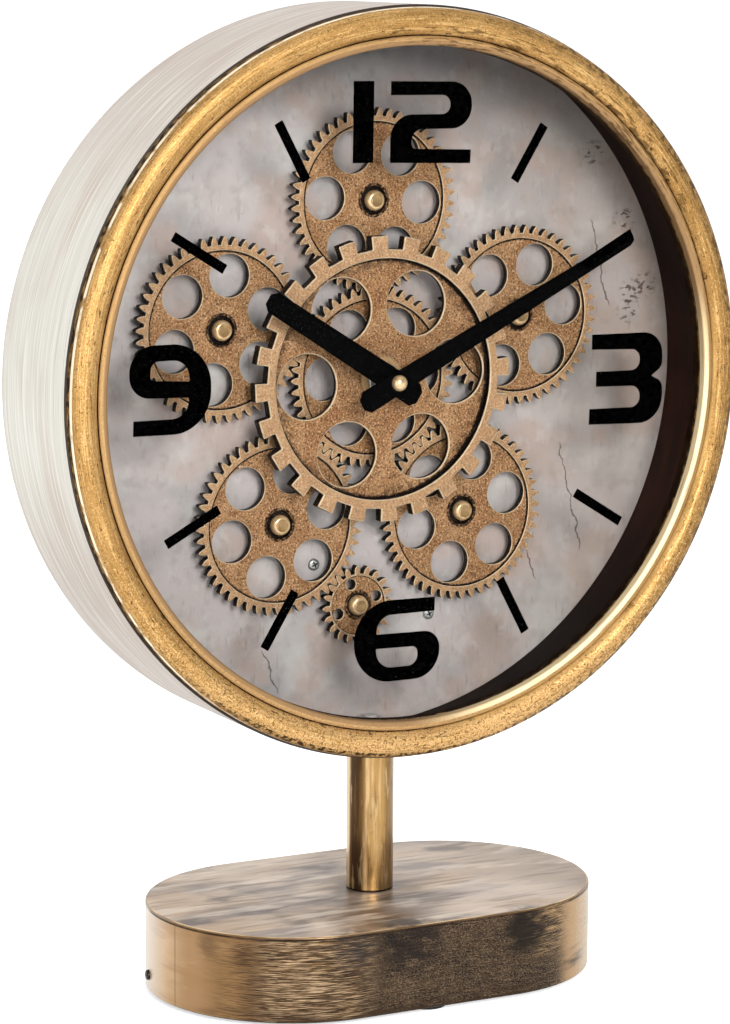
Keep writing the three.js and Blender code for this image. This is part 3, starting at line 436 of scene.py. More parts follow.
class Graph:
    """A node tree and the one helper that adds to it."""

    def __init__(self, tree: bpy.types.NodeTree) -> None:
        """Takes and empties a material's or the world's node tree."""
        self.tree = tree
        self.tree.nodes.clear()

    def add(self, kind: str, inputs: dict[int | str, Any] | None = None, output: int | str = 0,
            **settings: Any) -> Socket | None:
        """Adds a node.

        Args:
            kind: the node's type, after the word that all types begin with.
            inputs: a link or a constant for each input.
            output: which output to return.
            settings: the node's properties.

        Returns:
            That output's socket, or None for a node without outputs.
        """
        node = self.tree.nodes.new(f"ShaderNode{kind}")
        for key, value in settings.items():
            setattr(node, key, value)
        for key, value in (inputs or {}).items():
            if isinstance(value, Socket):
                self.tree.links.new(value, node.inputs[key])
            else:
                node.inputs[key].default_value = value
        return node.outputs[output] if node.outputs else None

    def rays(self, *kinds: str) -> Socket:
        """1 for rays of the named kinds and 0 for all others.

        Args:
            kinds: outputs of the Light Path node.

        Returns:
            The socket that holds the largest of them.
        """
        made = self.add("LightPath", output=kinds[0])
        for kind in kinds[1:]:
            made = self.add("Math", {0: made, 1: self.add("LightPath", output=kind)}, operation="MAXIMUM")
        return made

    def _round(self, place: Socket, mask: Mask) -> Socket:
        """Coordinates that follow a turned piece: a unit direction from the axis, and radius plus a share of the depth.

        Args:
            place: Object coordinates.
            mask: the mask, whose size holds the sizes along and across the turn.

        Returns:
            The socket of the coordinates.
        """
        lowered = (0, 0, -CENTRE_HEIGHT * MM)
        flat = self.add("VectorMath", {0: place, 1: (1, 0, 1), 2: lowered}, operation="MULTIPLY_ADD")
        radius = self.add("VectorMath", {0: flat}, "Value", operation="LENGTH")
        depth = self.add("VectorMath", {0: place, 1: (0, FLANK, 0)}, "Value", operation="DOT_PRODUCT")
        reach = self.add("Math", {0: radius, 1: depth}, operation="ADD")
        across = self.add("Math", {0: reach, 1: mask.size[1] * MM}, operation="DIVIDE")
        offset = self.add("CombineXYZ", {"X": mask.shift, "Y": across, "Z": mask.shift})
        way = self.add("VectorMath", {0: flat}, operation="NORMALIZE")
        return self.add("VectorMath", {0: way, 1: (RIM / mask.size[0],) * 3, 2: offset}, operation="MULTIPLY_ADD")

    def mask(self, mask: Mask) -> Socket:
        """Builds a mask's nodes.

        Args:
            mask: what to build.

        Returns:
            The socket that holds the mask's value.
        """
        place = self.add("TexCoord", output="Object")
        if mask.pattern is Pattern.WEAR_AND_SHADE:
            value = self.add("Attribute", output="Fac", attribute_name="wear_and_shade")
        elif mask.pattern in (Pattern.NOISE, Pattern.ROUND):
            spread = self._round(place, mask) if mask.pattern is Pattern.ROUND else self.add("Mapping", {
                "Vector": place, "Location": (mask.shift,) * 3, "Scale": tuple(1 / (MM * s) for s in mask.size)})
            value = self.add("TexNoise", {"Vector": spread, "Scale": 1.0, "Detail": mask.detail})
        elif mask.pattern is Pattern.SPOT:
            point = tuple(MM * s for s in mask.size)
            apart = self.add("VectorMath", {0: place, 1: point}, "Value", operation="DISTANCE")
            value = self.add("Math", {0: apart, 1: MM}, operation="DIVIDE")
        else:
            way = tuple(s / MM for s in mask.size)
            value = self.add("VectorMath", {0: place, 1: way}, "Value", operation="DOT_PRODUCT")
            if mask.pattern is Pattern.CRACK:
                sway = self.add("TexNoise", {"Vector": place, "Scale": CRACK_BENDS, "Detail": CRACK_DETAIL})
                value = self.add("Math", {0: sway, 1: mask.detail, 2: value}, operation="MULTIPLY_ADD")
            if mask.pattern is not Pattern.PLACE:
                off = self.add("Math", {0: value, 1: mask.shift}, operation="SUBTRACT")
                value = self.add("Math", {0: off}, operation="ABSOLUTE")
        limits = {"From Min": mask.low, "From Max": mask.high, "To Max": mask.strength}
        made = self.add("MapRange", {"Value": value, **limits}, interpolation_type="SMOOTHSTEP")
        if mask.within is None:
            return made
        return self.add("Math", {0: made, 1: self.mask(mask.within)}, operation="MULTIPLY")


@dataclass(frozen=True)
class Finish:
    """A material made of layers of colour, with its own gloss and relief.

    Attributes:
        name: the real material and make.
        base: colour under the layers.
        layers: colours over it, in order, with the mask of each.
        metallic: share of bare metal.
        roughness: how matt it is.
        dull: roughness of the parts that a mask marks, with the mask.
        relief: depth of bumps and the mask of each.
        specular: strength of the plain gloss.
    """

    name: str
    base: str
    layers: tuple[tuple[str, Mask], ...] = ()
    metallic: float = 0.0
    roughness: float = 0.5
    dull: tuple[tuple[float, Mask], ...] = ()
    relief: tuple[tuple[float, Mask], ...] = ()
    specular: float = 0.5

    def material(self) -> bpy.types.Material:
        """Makes the material, or finds it if it is made already.

        Returns:
            The Blender material.
        """
        found = bpy.data.materials.get(self.name)
        if found:
            return found
        made = bpy.data.materials.new(self.name)
        made.use_nodes = True
        graph = Graph(made.node_tree)
        graph.add("OutputMaterial", {"Surface": self.shader(graph)})
        return made

    def shader(self, graph: Graph) -> Socket:
        """Lays the colours, gloss and relief on a metal or plain shader.

        Args:
            graph: the material's empty graph.

        Returns:
            The shader's socket.
        """
        colour: Any = linear(self.base)
        for over, mask in self.layers:
            colour = graph.add("Mix", {0: graph.mask(mask), 6: colour, 7: linear(over)}, 2, data_type="RGBA")
        roughness: Any = self.roughness
        for value, mask in self.dull:
            roughness = graph.add("Mix", {0: graph.mask(mask), 2: roughness, 3: value})
        inputs = {"Base Color": colour, "Metallic": self.metallic, "Roughness": roughness,
                  "Specular IOR Level": self.specular}
        for depth, mask in self.relief:
            below = {"Normal": inputs["Normal"]} if "Normal" in inputs else {}
            inputs["Normal"] = graph.add("Bump", {"Height": graph.mask(mask), "Distance": depth * MM, **below})
        return graph.add("BsdfPrincipled", inputs)


@dataclass(frozen=True)
class Glass(Finish):
    """Clear sheet that lets light through and mirrors a little of the room.

    Attributes:
        mirror: colour of the gloss.
        head_on: share of the gloss at a square view.
        glancing: what a glancing view adds to it.
        steepness: power of the facing angle by which it is added.
    """

    mirror: str = "#161616"
    head_on: float = 0.04
    glancing: float = 0.4
    steepness: float = 5.0

    def shader(self, graph: Graph) -> Socket:
        """Mixes clear with gloss, whose share is head_on + glancing * facing ** steepness.

        Args:
            graph: the material's empty graph.

        Returns:
            The shader's socket.
        """
        facing = graph.add("LayerWeight", {"Blend": 0.5}, "Facing")
        steep = graph.add("Math", {0: facing, 1: self.steepness}, operation="POWER")
        share = graph.add("Math", {0: steep, 1: self.glancing, 2: self.head_on}, operation="MULTIPLY_ADD")
        clear = graph.add("BsdfTransparent", {"Color": linear(self.base)})
        gloss = graph.add("BsdfGlossy", {"Color": linear(self.mirror), "Roughness": self.roughness})
        return graph.add("MixShader", {0: share, 1: clear, 2: gloss})


@dataclass(frozen=True)
class Paper(Finish):
    """Studio floor that the camera, metal and glass see as white where no shadow falls."""

    glow: float = 0.55

    def shader(self, graph: Graph) -> Socket:
        """Adds a glow to a matt floor that the camera, metal and glass see.

        Args:
            graph: the material's empty graph.

        Returns:
            The shader's socket.
        """
        seen = graph.rays("Is Camera Ray", *MIRRORED)
        power = graph.add("Math", {0: seen, 1: self.glow}, operation="MULTIPLY")
        shine = graph.add("Emission", {"Strength": power})
        matt = graph.add("BsdfDiffuse", {"Color": linear(self.base)})
        return graph.add("AddShader", {0: shine, 1: matt})


def noise(size: Point | float, low: float, high: float, strength: float = 1.0, detail: float = 3.0,
          shift: float = 0.0) -> Mask:
    """A mask of cloudy noise, whose size may be one number for all axes."""
    spread = size if isinstance(size, tuple) else (size, size, size)
    return Mask(Pattern.NOISE, low, high, strength, spread, detail, shift)


def brushed(along: float, across: float, low: float, high: float, strength: float = 1.0, detail: float = 3.0,
            shift: float = 0.0) -> Mask:
    """A mask of marks that run round the dial's axis."""
    return Mask(Pattern.ROUND, low, high, strength, (along, across, 0.0), detail, shift)


def toward(way: Point, low: float, high: float, strength: float = 1.0) -> Mask:
    """A mask that grows along a direction, from one distance to another."""
    return Mask(Pattern.PLACE, low, high, strength, way)


def near(point: Point, low: float, high: float, strength: float = 1.0) -> Mask:
    """A mask that grows from one distance from a point to another."""
    return Mask(Pattern.SPOT, low, high, strength, point)


def stripe(way: Point, at: float, low: float, high: float, strength: float = 1.0) -> Mask:
    """A mask of a stripe across a direction, at a distance along it."""
    return Mask(Pattern.LINE, low, high, strength, way, shift=at)


def marked(low: float, high: float, strength: float = 1.0) -> Mask:
    """A mask of the faces whose value of wearing and painted light lies between two values."""
    return Mask(Pattern.WEAR_AND_SHADE, low, high, strength)


UP: Point = (0.0, 0.0, 1.0)
LOW: Point = (0.0, 0.0, -1.0)
RIGHT: Point = (1.0, 0.0, 0.0)
BACK: Point = (0.0, 1.0, 0.0)
ACROSS_VIEW: Point = (0.883, -0.469, 0.0)
TO_LOWER_RIGHT: Point = (0.8, 0.0, -0.6)
WORN = marked(0.75, 1.0, 0.75)
# The two masks below take the faces with painted shade, together with the grime and stains that lie there.
SHADE_AND_STAINS = marked(-0.2, -0.45)
SHADE_AND_DIRT = marked(-0.25, -1.0, 0.95)

# Sizes are those of the real grain, streak or stain, but paint grain, powder and plating are too fine to show in the
# render and are drawn 0.5 to 1.5 mm wide.

WEB_MIDDLE: Point = (0.0, -8.0, CENTRE_HEIGHT)
# Moulded wheels with a rubbed bronze paint: granular brown and gold grains, bright rubbed edges, walls and tooth flanks
# painted near black as shade, and painted shade in a band at the foot of each step.
GEAR_BRONZE = Finish(
    "moulded_abs_rubbed_bronze", "#976e49",
    (("#83532f", noise(16, 0.48, 0.7, 0.6, 3, 11)),
     ("#b08660", noise(9, 0.45, 0.68, 0.65)),
     ("#634028", noise(4, 0.52, 0.7, 0.55, 3, 17)),
     ("#3e2410", noise(0.9, 0.49, 0.63, 0.75, 4)),
     ("#d1b08e", noise(0.8, 0.54, 0.66, 0.7, 4, 7)),
     ("#c29d78", marked(0.2, 0.5, 0.4)),
     # Painted shade on the walls and on the band at the foot of each step.
     ("#120905", SHADE_AND_STAINS & noise(1.4, 0.36, 0.56, 0.95, 4, 2)),
     # Painted shade on the face wheel's web, close under its raised rim.
     ("#2e1b0d", noise(3, 0.4, 0.6, 0.75, 4, 19) & near(WEB_MIDDLE, 43.5, 50.2) & toward(BACK, -9.8, -9.0)
      & toward(BACK, -6.0, -7.5)),
     ("#dac2a2", WORN), ("#0d0503", SHADE_AND_DIRT)),
    metallic=0.3, roughness=0.45, relief=((0.2, noise(1.1, 0.3, 0.7, 1, 4)),), specular=0.12)

RING_MIDDLE: Point = (0.0, -41.0, CENTRE_HEIGHT)
LOWER_HALF = toward(LOW, -220, -140)
LOWER_RIGHT = toward(TO_LOWER_RIGHT, -75, -35)
# Antique gold on a stamped brass ring: warm gold with fine dark scratches, black grime with painted shade in the groove
# and on the flank, painted light lower down and painted shade on the right, a painted highlight on the upper left
# shoulder and on the groove and bead at the lower right, and painted shade on the bead elsewhere.
BEZEL_GOLD = Finish(
    "stamped_brass_antique_gold", "#a47d49",
    (("#b78f58", noise(18, 0.42, 0.66, 0.7)),
     # Painted light, lighter towards the bottom.
     ("#d3a972", toward(LOW, -165, -112, 0.55)),
     ("#8f6d3e", noise(40, 0.3, 0.5, 0.4, 3, 13) & toward(UP, 150, 220)),
     # Painted shade, darker on the right side.
     ("#7d5c30", toward(RIGHT, 90, 135, 0.6)),
     ("#87632f", brushed(30, 0.9, 0.46, 0.64, 0.4, 3, 3)),
     ("#cfab70", brushed(22, 0.6, 0.5, 0.66, 0.5, 3, 8)),
     ("#6a4a22", noise(0.8, 0.5, 0.64, 0.35, 4, 3)),
     ("#6a4a22", noise(0.8, 0.5, 0.64, 0.65, 4, 3) & LOWER_HALF),
     ("#e2c08c", noise(0.7, 0.54, 0.68, 0.35, 4, 23)),
     ("#e2c08c", noise(0.7, 0.54, 0.68, 0.5, 4, 23) & LOWER_HALF),
     ("#2e1c0b", brushed(4, 0.5, 0.6, 0.7, 0.85, 3, 5)),
     ("#2e1c0b", noise(1.1, 0.63, 0.72, 0.85, 3, 15)),
     # Painted highlight: a cream band on the outer shoulder at the upper left.
     ("#f6ead0", marked(0.05, 0.15, 0.85) & marked(0.3, 0.2) & noise(9, 0.34, 0.5, 1, 3, 41)
      & toward((-0.8, 0.0, 0.6), 110, 200)),
     ("#a3845c", marked(0.2, 0.5, 0.6)),
     # Painted shade on the bead away from the lower right, then a painted highlight on it at the lower right.
     ("#86694a", WORN & toward(TO_LOWER_RIGHT, -35, -75)),
     ("#ecdab0", marked(0.75, 1.0, 0.85) & brushed(18, 0.8, 0.2, 0.45, 1, 3, 6) & LOWER_RIGHT),
     # Grime with painted shade in the groove and on the flank.
     ("#1f1208", SHADE_AND_STAINS & noise((4, 2, 4), 0.42, 0.56, 0.9, 4, 2)),
     ("#170a04", marked(-0.05, -0.2) & noise((2.4, 1.6, 2.4), 0.44, 0.56, 0.9, 4, 33)
      & toward((0.3, 0.0, -0.954), -200, -130)),
     ("#140803", SHADE_AND_DIRT),
     ("#2a1809", noise((2.6, 1.6, 2.6), 0.45, 0.58, 0.8, 4, 44) & near(RING_MIDDLE, 148.5, 153.5)
      & toward(RIGHT, 20, 90)),
     ("#3b2510", brushed(7, 0.8, 0.52, 0.62, 0.7, 4, 71) & near(RING_MIDDLE, 150, 146.5)
      & toward((0.45, 0.0, 0.893), 335, 365)),
     # Painted highlight: the groove made pale at the lower right.
     ("#c9a466", brushed(22, 0.7, 0.3, 0.5, 0.6, 3, 62) & near(RING_MIDDLE, 145.6, 143.9)
      & near(RING_MIDDLE, 142.2, 143.2) & LOWER_RIGHT)),
    metallic=0.6, roughness=0.42, dull=((0.8, marked(-0.2, -0.6)), (0.6, marked(0.2, 0.5))),
    relief=((0.02, brushed(20, 0.6, 0.3, 0.7)), (0.04, noise(0.7, 0.3, 0.7))), specular=0.06)
# Brass tube drawn lengthwise: warm, glossy, with streaks along the tube and a dark joint at its foot; painted
# reflections run down it across the view: a dark band left of the middle, a duller band on the right and a bright line
# near the left edge.
STEM_BRASS = Finish(
    "drawn_brass_tube", "#a07e4c",
    (("#c6aa80", noise((2.5, 2.5, 40), 0.45, 0.65, 0.6)),
     # Painted reflections across the view: a dark band left of the middle and a duller band on the right.
     ("#301c08", stripe(ACROSS_VIEW, -5.8, 4.0, 1.8, 0.95) & noise((6, 6, 30), 0.2, 0.42)),
     ("#503619", stripe(ACROSS_VIEW, 8.6, 3.2, 1.0, 0.6)),
     ("#684b26", noise((3, 3, 30), 0.52, 0.68, 0.6, 3, 4)),
     ("#4c3216", noise((4, 4, 22), 0.5, 0.66, 0.5, 4, 31)),
     ("#c6ac84", noise((2.2, 2.2, 16), 0.56, 0.7, 0.45, 4, 27)),
     # Painted highlight near the left edge, as the view sees it.
     ("#d9bd94", stripe(ACROSS_VIEW, -9.4, 1.0, 0.4, 0.75)),
     ("#3d2812", noise(1.2, 0.66, 0.75, 0.7, 3, 9)),
     ("#20140a", SHADE_AND_DIRT)),
    metallic=0.85, roughness=0.24, relief=((0.03, noise((0.8, 0.8, 18), 0.3, 0.7)),))
# Polished brass buttons: pale yellow metal with small dark pits.
STUD_BRASS = Finish(
    "turned_brass", "#d7b589",
    (("#a97f44", noise(2, 0.54, 0.66, 0.6)), ("#704f1f", marked(0.2, 0.5, 0.75)), ("#e4caa9", WORN), ("#35230f", SHADE_AND_DIRT)),
    metallic=0.55, roughness=0.26)
# Steel sheet lacquered off-white over a lathe-brushed ground: fine lines round the drum, pinkish where it is thin;
# painted shade darkens it away from the middle of its left side and towards the bottom, and a near-black painted shadow
# lies on its front edge.
CASE_PAINT = Finish(
    "brushed_steel_pale_lacquer", "#d3d0c6",
    (("#c2b2a5", noise((70, 26, 70), 0.42, 0.68, 0.7)),
     # Painted shade: darker away from the middle of the left side, and towards the bottom.
     ("#b3a297", near((-156, 0, 266), 40, 150, 0.7)),
     ("#a5988d", toward(LOW, -245, -175, 0.7)),
     ("#edece4", noise((60, 0.9, 60), 0.5, 0.66, 0.6)),
     ("#aa9c90", noise((45, 0.55, 45), 0.56, 0.72, 0.6, 2, 6)),
     # Painted shadow on the front face where the drum meets the bezel.
     ("#1a0c05", SHADE_AND_DIRT)),
    metallic=0.15, roughness=0.45, relief=((0.03, noise((40, 0.5, 40), 0.3, 0.7)),), specular=0.3)

ON_TOP = toward(UP, 38.0, 38.38)
ON_SIDE = toward(UP, 38.38, 38.0)


def stretch(low: float, high: float, strength: float = 1.0) -> Mask:
    """A mask of a stretch of the base's wall, along the view's left to right."""
    return toward(ACROSS_VIEW, low, high, strength) & ON_SIDE


STREAKED = toward(ACROSS_VIEW, 12, -4) & stretch(-50, -36)
GRAINED = stretch(-8, 12)
STEM_MIRRORED: Point = (-22, -44, 38.4)
# Brass sheet brushed lengthwise under a patina: gold at the ends, black grain to the right, mauve on top; painted shade
# round the front of the stem's foot, under the rim and along the foot of the wall, a painted reflection of the stem on
# the top, and painted highlights at the two ends of the wall as the view sees them.
BASE_PATINA = Finish(
    "brushed_brass_patina", "#c6a57b",
    (("#c3b09f", noise((80, 34, 20), 0.2, 0.45, 0.9, 3, 3) & ON_TOP),
     ("#b09478", toward(RIGHT, -40, -90, 0.7) & ON_TOP),
     ("#a0866c", noise((60, 34, 12), 0.48, 0.68, 0.8, 3, 19) & ON_TOP),
     ("#867b76", noise((42, 24, 12), 0.46, 0.66, 0.8) & ON_TOP),
     ("#947f6c", toward(RIGHT, 30, 95, 0.65) & ON_TOP),
     ("#54473f", noise((30, 15, 7), 0.54, 0.7, 0.75, 3, 12) & ON_TOP),
     # Painted shade on the top round the front of the stem's foot, under the drum.
     ("#3b2e26", near((-8, -18, 38.4), 50, 14, 0.74) & noise((30, 18, 8), 0.25, 0.55, 1, 3, 6)),
     # Painted reflection: the stem's mirror image on the top, darkened to brown.
     ("#6b4c2a", near(STEM_MIRRORED, 26, 8, 0.85) & noise((40, 20, 8), 0.2, 0.5, 1, 3, 36)),
     ("#dccabb", near((45, -42, 38.4), 48, 12, 0.65) & noise((40, 14, 6), 0.3, 0.55, 1, 3, 22)),
     ("#e6d6c3", noise((36, 9, 4), 0.52, 0.68, 0.55, 3, 2) & ON_TOP),
     ("#6a5d56", noise((24, 2.5, 0.9), 0.56, 0.7, 0.4, 3, 5) & ON_TOP),
     ("#5e4a3a", noise((45, 4.5, 8), 0.52, 0.66, 0.5, 4, 77) & ON_TOP),
     ("#d9c6b2", noise((38, 4, 8), 0.56, 0.68, 0.35, 4, 78) & ON_TOP),
     ("#d2b190", noise((30, 30, 12), 0.48, 0.68, 0.6, 3, 14) & ON_SIDE),
     ("#a5825c", noise((40, 40, 5), 0.5, 0.68, 0.5, 3, 31) & ON_SIDE),
     ("#98754f", noise((30, 30, 7), 0.1, 0.4, 0.85, 3, 44) & stretch(-87, -74)),
     ("#83633f", noise((24, 24, 6), 0.2, 0.45, 0.85, 3, 48) & stretch(-74, -60)),
     ("#4f3a28", noise((26, 26, 7), 0.25, 0.5, 0.75, 3, 7) & stretch(-58, -42)),
     ("#1d130b", noise((8, 8, 0.26), 0.48, 0.58, 0.75, 3, 1) & stretch(-72, -48)),
     ("#d6b68e", noise((9, 9, 0.28), 0.51, 0.59, 0.78, 3, 15) & STREAKED),
     ("#170e08", noise((11, 11, 0.3), 0.54, 0.61, 0.8, 3, 98) & STREAKED),
     ("#372b22", noise((30, 30, 9), 0.18, 0.46, 0.92, 3, 27) & GRAINED),
     ("#66543f", noise((24, 24, 10), 0.5, 0.66, 0.4, 3, 61) & GRAINED),
     ("#1b140f", noise((16, 16, 9), 0.52, 0.64, 0.75, 3, 71) & GRAINED),
     ("#150d07", noise((0.8, 0.8, 0.5), 0.44, 0.58, 0.7, 3, 3) & GRAINED),
     ("#957a5d", noise((0.7, 0.7, 0.4), 0.52, 0.63, 0.65, 3, 21) & GRAINED),
     ("#8a7358", noise((9, 9, 0.24), 0.53, 0.62, 0.5, 3, 81) & GRAINED),
     ("#c39f70", noise((8, 8, 0.26), 0.5, 0.6, 0.8, 4, 52) & toward(ACROSS_VIEW, 58, 76) & toward(UP, 12, 24)
      & ON_SIDE),
     ("#17120f", near((42, -62.5, 30), 15, 6, 0.9) & noise((9, 9, 4), 0.25, 0.5)),
     ("#1b1613", near((-14, -62.5, 34), 20, 8, 0.8) & noise((9, 9, 3), 0.3, 0.55, 1, 3, 4)),
     ("#2b2a2c", near((-40, -62.5, 34), 14, 5, 0.7) & noise((7, 7, 1.2), 0.35, 0.55, 1, 3, 8)),
     ("#4a3522", near((-94, -32, 32), 9, 2, 0.6) & noise((8, 8, 1.6), 0.3, 0.55)),
     ("#3a2819", near((-84, -45, 30), 8, 2, 0.7) & noise((8, 8, 1.2), 0.35, 0.55, 1, 3, 2)),
     ("#3a2819", toward(UP, 9, 2.5, 0.8) & noise((26, 26, 2), 0.4, 0.58, 1, 3, 9) & toward(RIGHT, -97, -88)),
     ("#b3926b", toward(ACROSS_VIEW, 79, 87, 0.95) & noise((30, 30, 4), 0.2, 0.5, 1, 3, 40) & ON_SIDE),
     ("#7a5c3e", stripe((-0.208, 0.978, 0.0), 7.74, 0.7, 0.2, 0.5) & toward(RIGHT, -80, -84) & ON_SIDE),
     # Painted highlights at the two ends of the wall, as the view sees them.
     ("#e9e0d4", stretch(-82, -97, 0.75)),
     ("#d8cdbb", stretch(86, 97, 0.6)),
     ("#0a0705", replace(ON_SIDE, strength=0.18)),
     ("#0a0705", toward(ACROSS_VIEW, -60, 0, 0.24) & stretch(84, 74)),
     ("#75593c", marked(0.2, 0.5, 0.6)),
     # Painted shade with grime: a line under the rim and the foot of the wall.
     ("#1c1109", SHADE_AND_STAINS & noise(30, 0.36, 0.52, 0.9, 3, 5)),
     ("#e8cda3", marked(0.75, 1.0, 0.8) & noise(20, 0.4, 0.6)),
     ("#1c130b", SHADE_AND_DIRT)),
    metallic=0.4, roughness=0.3,
    dull=((0.55, noise(0.9, 0.4, 0.6, 0.8, 4, 3) & GRAINED), (0.5, near(STEM_MIRRORED, 30, 12))),
    relief=((0.03, noise((40, 1, 1), 0.3, 0.7)),), specular=0.15)

SCARS: tuple[Point, ...] = (
    (131.5, 7.4, 289.0), (139.0, 7.4, 292.0), (130.5, 7.4, 281.0), (127.7, 7.4, 320.6), (111.8, 7.4, 350.1))
# Hair cracks: the direction across each, where it stands along that, its middle and half its length.
CRACKS: tuple[tuple[Point, float, Point, float], ...] = (
    ((0.971, 0.0, 0.239), 188.0, (115.7, 7.4, 302.1), 21.0),
    ((0.969, 0.0, 0.245), 151.5, (102.0, 7.4, 200.3), 26.0),
    ((0.919, 0.0, 0.395), 147.3, (82.8, 7.4, 171.6), 9.0),
    ((0.921, 0.0, 0.389), 15.5, (-44.1, 7.4, 135.5), 12.0))
DIAL_BACK = toward(BACK, 7.9, 8.3)
# Plaster skin on a steel sheet: pale grey-mauve, faint brush marks, hair cracks, brown scars and dark specks, with the
# bezel's shadow painted across its top and upper right.
DIAL_PLASTER = Finish(
    "distressed_plaster_on_steel", "#b3a8a5",
    (("#9e9896", noise((34, 34, 30), 0.42, 0.66, 0.75)),
     ("#c3bdb8", noise((38, 38, 34), 0.5, 0.7, 0.7, 3, 9)),
     ("#af988d", noise(24, 0.46, 0.68, 0.7, 3, 4)),
     ("#918984", noise((7, 7, 8), 0.5, 0.7, 0.4, 4, 6)),
     ("#c1b8b3", noise((5, 5, 6), 0.54, 0.7, 0.4, 4, 16)),
     ("#837b76", noise((1.8, 20, 9), 0.62, 0.74, 0.4, 3, 26)),
     ("#635852", noise(1.5, 0.69, 0.77, 0.6, 3, 2)),
     # Painted shadow of the bezel across the top and upper right.
     ("#2b2725", toward((0.25, 0.0, 0.968), 325, 392, 0.6)),
     ("#84705f", toward(RIGHT, 20, 140, 0.35)),
     *[("#48342c", near(at, 7, 3, 0.85) & noise((3.4, 3.4, 1.8), 0.52, 0.6, 1, 3, 5)) for at in SCARS],
     *[("#3e322c", Mask(Pattern.CRACK, 0.5, 0.15, 0.75, across, 7.0, stands) & near(at, reach, reach - 4))
       for across, stands, at, reach in CRACKS],
     ("#84817d", DIAL_BACK),
     ("#9a9792", noise(30, 0.42, 0.64, 0.7, 3, 50) & DIAL_BACK)),
    roughness=0.75, relief=((0.06, noise(2, 0.3, 0.7)),), specular=0.25)
# Moulded strip in dark brown, satin, which shows between the glass and the dial; painted shade darkens it towards the
# bottom and at the upper right.
LINER_BROWN = Finish(
    "moulded_styrene_strip", "#2e1004",
    (("#1c0802", noise((30, 6, 30), 0.4, 0.65, 0.8)),
     ("#371d0d", noise((40, 1, 40), 0.55, 0.7, 0.5)),
     # Painted shade towards the bottom and at the upper right.
     ("#070403", toward(LOW, -215, -135, 0.85)),
     ("#060201", toward((0.6, 0.0, 0.8), 288, 335, 0.75))),
    roughness=0.6, specular=0.15)
# Screen ink behind the glass: dead black and even.
PRINT_BLACK = Finish("screen_printed_ink", "#020202", (("#000000", noise(2, 0.4, 0.6)),), roughness=0.9, specular=0.0)
# Stamped hands in matt stoving paint: near black, with a faint grain.
HAND_BLACK = Finish("stoved_black_aluminium", "#030303", (("#000000", noise(1.5, 0.4, 0.6)),), roughness=0.8,
                    specular=0.03, relief=((0.02, noise(0.6, 0.3, 0.7)),))
# Black-painted sheet under the base: matt with a fine powder grain.
PLATE_BLACK = Finish("powder_coated_sheet", "#0d0d0d", (("#191919", noise(0.8, 0.45, 0.6)),), roughness=0.7)
# Moulded nylon bush, stained brown by the wheels' paint, with a paler worn rim.
NYLON = Finish("bronze_stained_nylon", "#a88459",
               (("#7d5c39", noise(3, 0.5, 0.7, 0.6)), ("#d9c29a", WORN), ("#3f2c1b", SHADE_AND_DIRT)), roughness=0.5)
# Zinc-plated steel hardware: grey, with fine dull blotches and recesses darkened as painted shade.
STEEL = Finish("zinc_plated_steel", "#b4b4b0", (("#84847f", noise(1.2, 0.45, 0.65, 0.7)), ("#1c1a18", SHADE_AND_DIRT)),
               metallic=0.9, roughness=0.34)
# Zinc-flake coat on the stem's rod and upper nut: matt silver-grey, close to the dial behind it.
ZINC_FLAKE = Finish("zinc_flake_coated_steel", "#b3aba7",
                    (("#9a928d", noise(2.5, 0.45, 0.65, 0.7)), ("#c9c2bd", noise(0.8, 0.55, 0.7, 0.6))),
                    roughness=0.75, specular=0.2)
# The base's own screws, blackened like its patina, with recesses darkened as painted shade.
DARK_STEEL = Finish("blackened_steel", "#3a332c", (("#16120e", noise(0.8, 0.4, 0.6, 0.8)), ("#0a0806", SHADE_AND_DIRT)),
                    metallic=0.8, roughness=0.35)
# Moulded black housings: fine spark-eroded grain.
UNIT_PLASTIC = Finish("moulded_black_abs", "#161617", (("#222224", noise(0.7, 0.45, 0.6, 0.7)),), roughness=0.52,
                      relief=((0.02, noise(0.5, 0.3, 0.7)),))
# Shrink film round a zinc can: blue-grey with a gold band, and bare metal ends.
CELL_FILM = Finish(
    "shrink_film_on_zinc_can", "#33475f",
    (("#4a617d", noise((30, 2, 2), 0.45, 0.6, 0.6)), ("#b99b4a", marked(0.2, 0.4)), ("#c9c9c2", marked(0.6, 0.9))),
    roughness=0.35)
# Cut rubber pads: matt black-grey with a fine dusty grain.
RUBBER = Finish("cut_rubber_sheet", "#131313", (("#202020", noise(0.9, 0.45, 0.6, 0.7)),), roughness=0.85)
# Clear float glass: a faint mirror that grows at a glancing view.
LENS = Glass("float_glass", "#fdfefe", roughness=0.02)
# White paper under the clock: matt, with soft shadows.
FLOOR = Paper("matt_white_paper", "#f4f4f4")


def put(name: str, data: bpy.types.ID) -> bpy.types.Object:
    """Puts a mesh, a light or a camera into the scene.

    Args:
        name: the object's name.
        data: what the object holds.

    Returns:
        The object.
    """
    made = bpy.data.objects.new(name, data)
    bpy.context.scene.collection.objects.link(made)
    return made


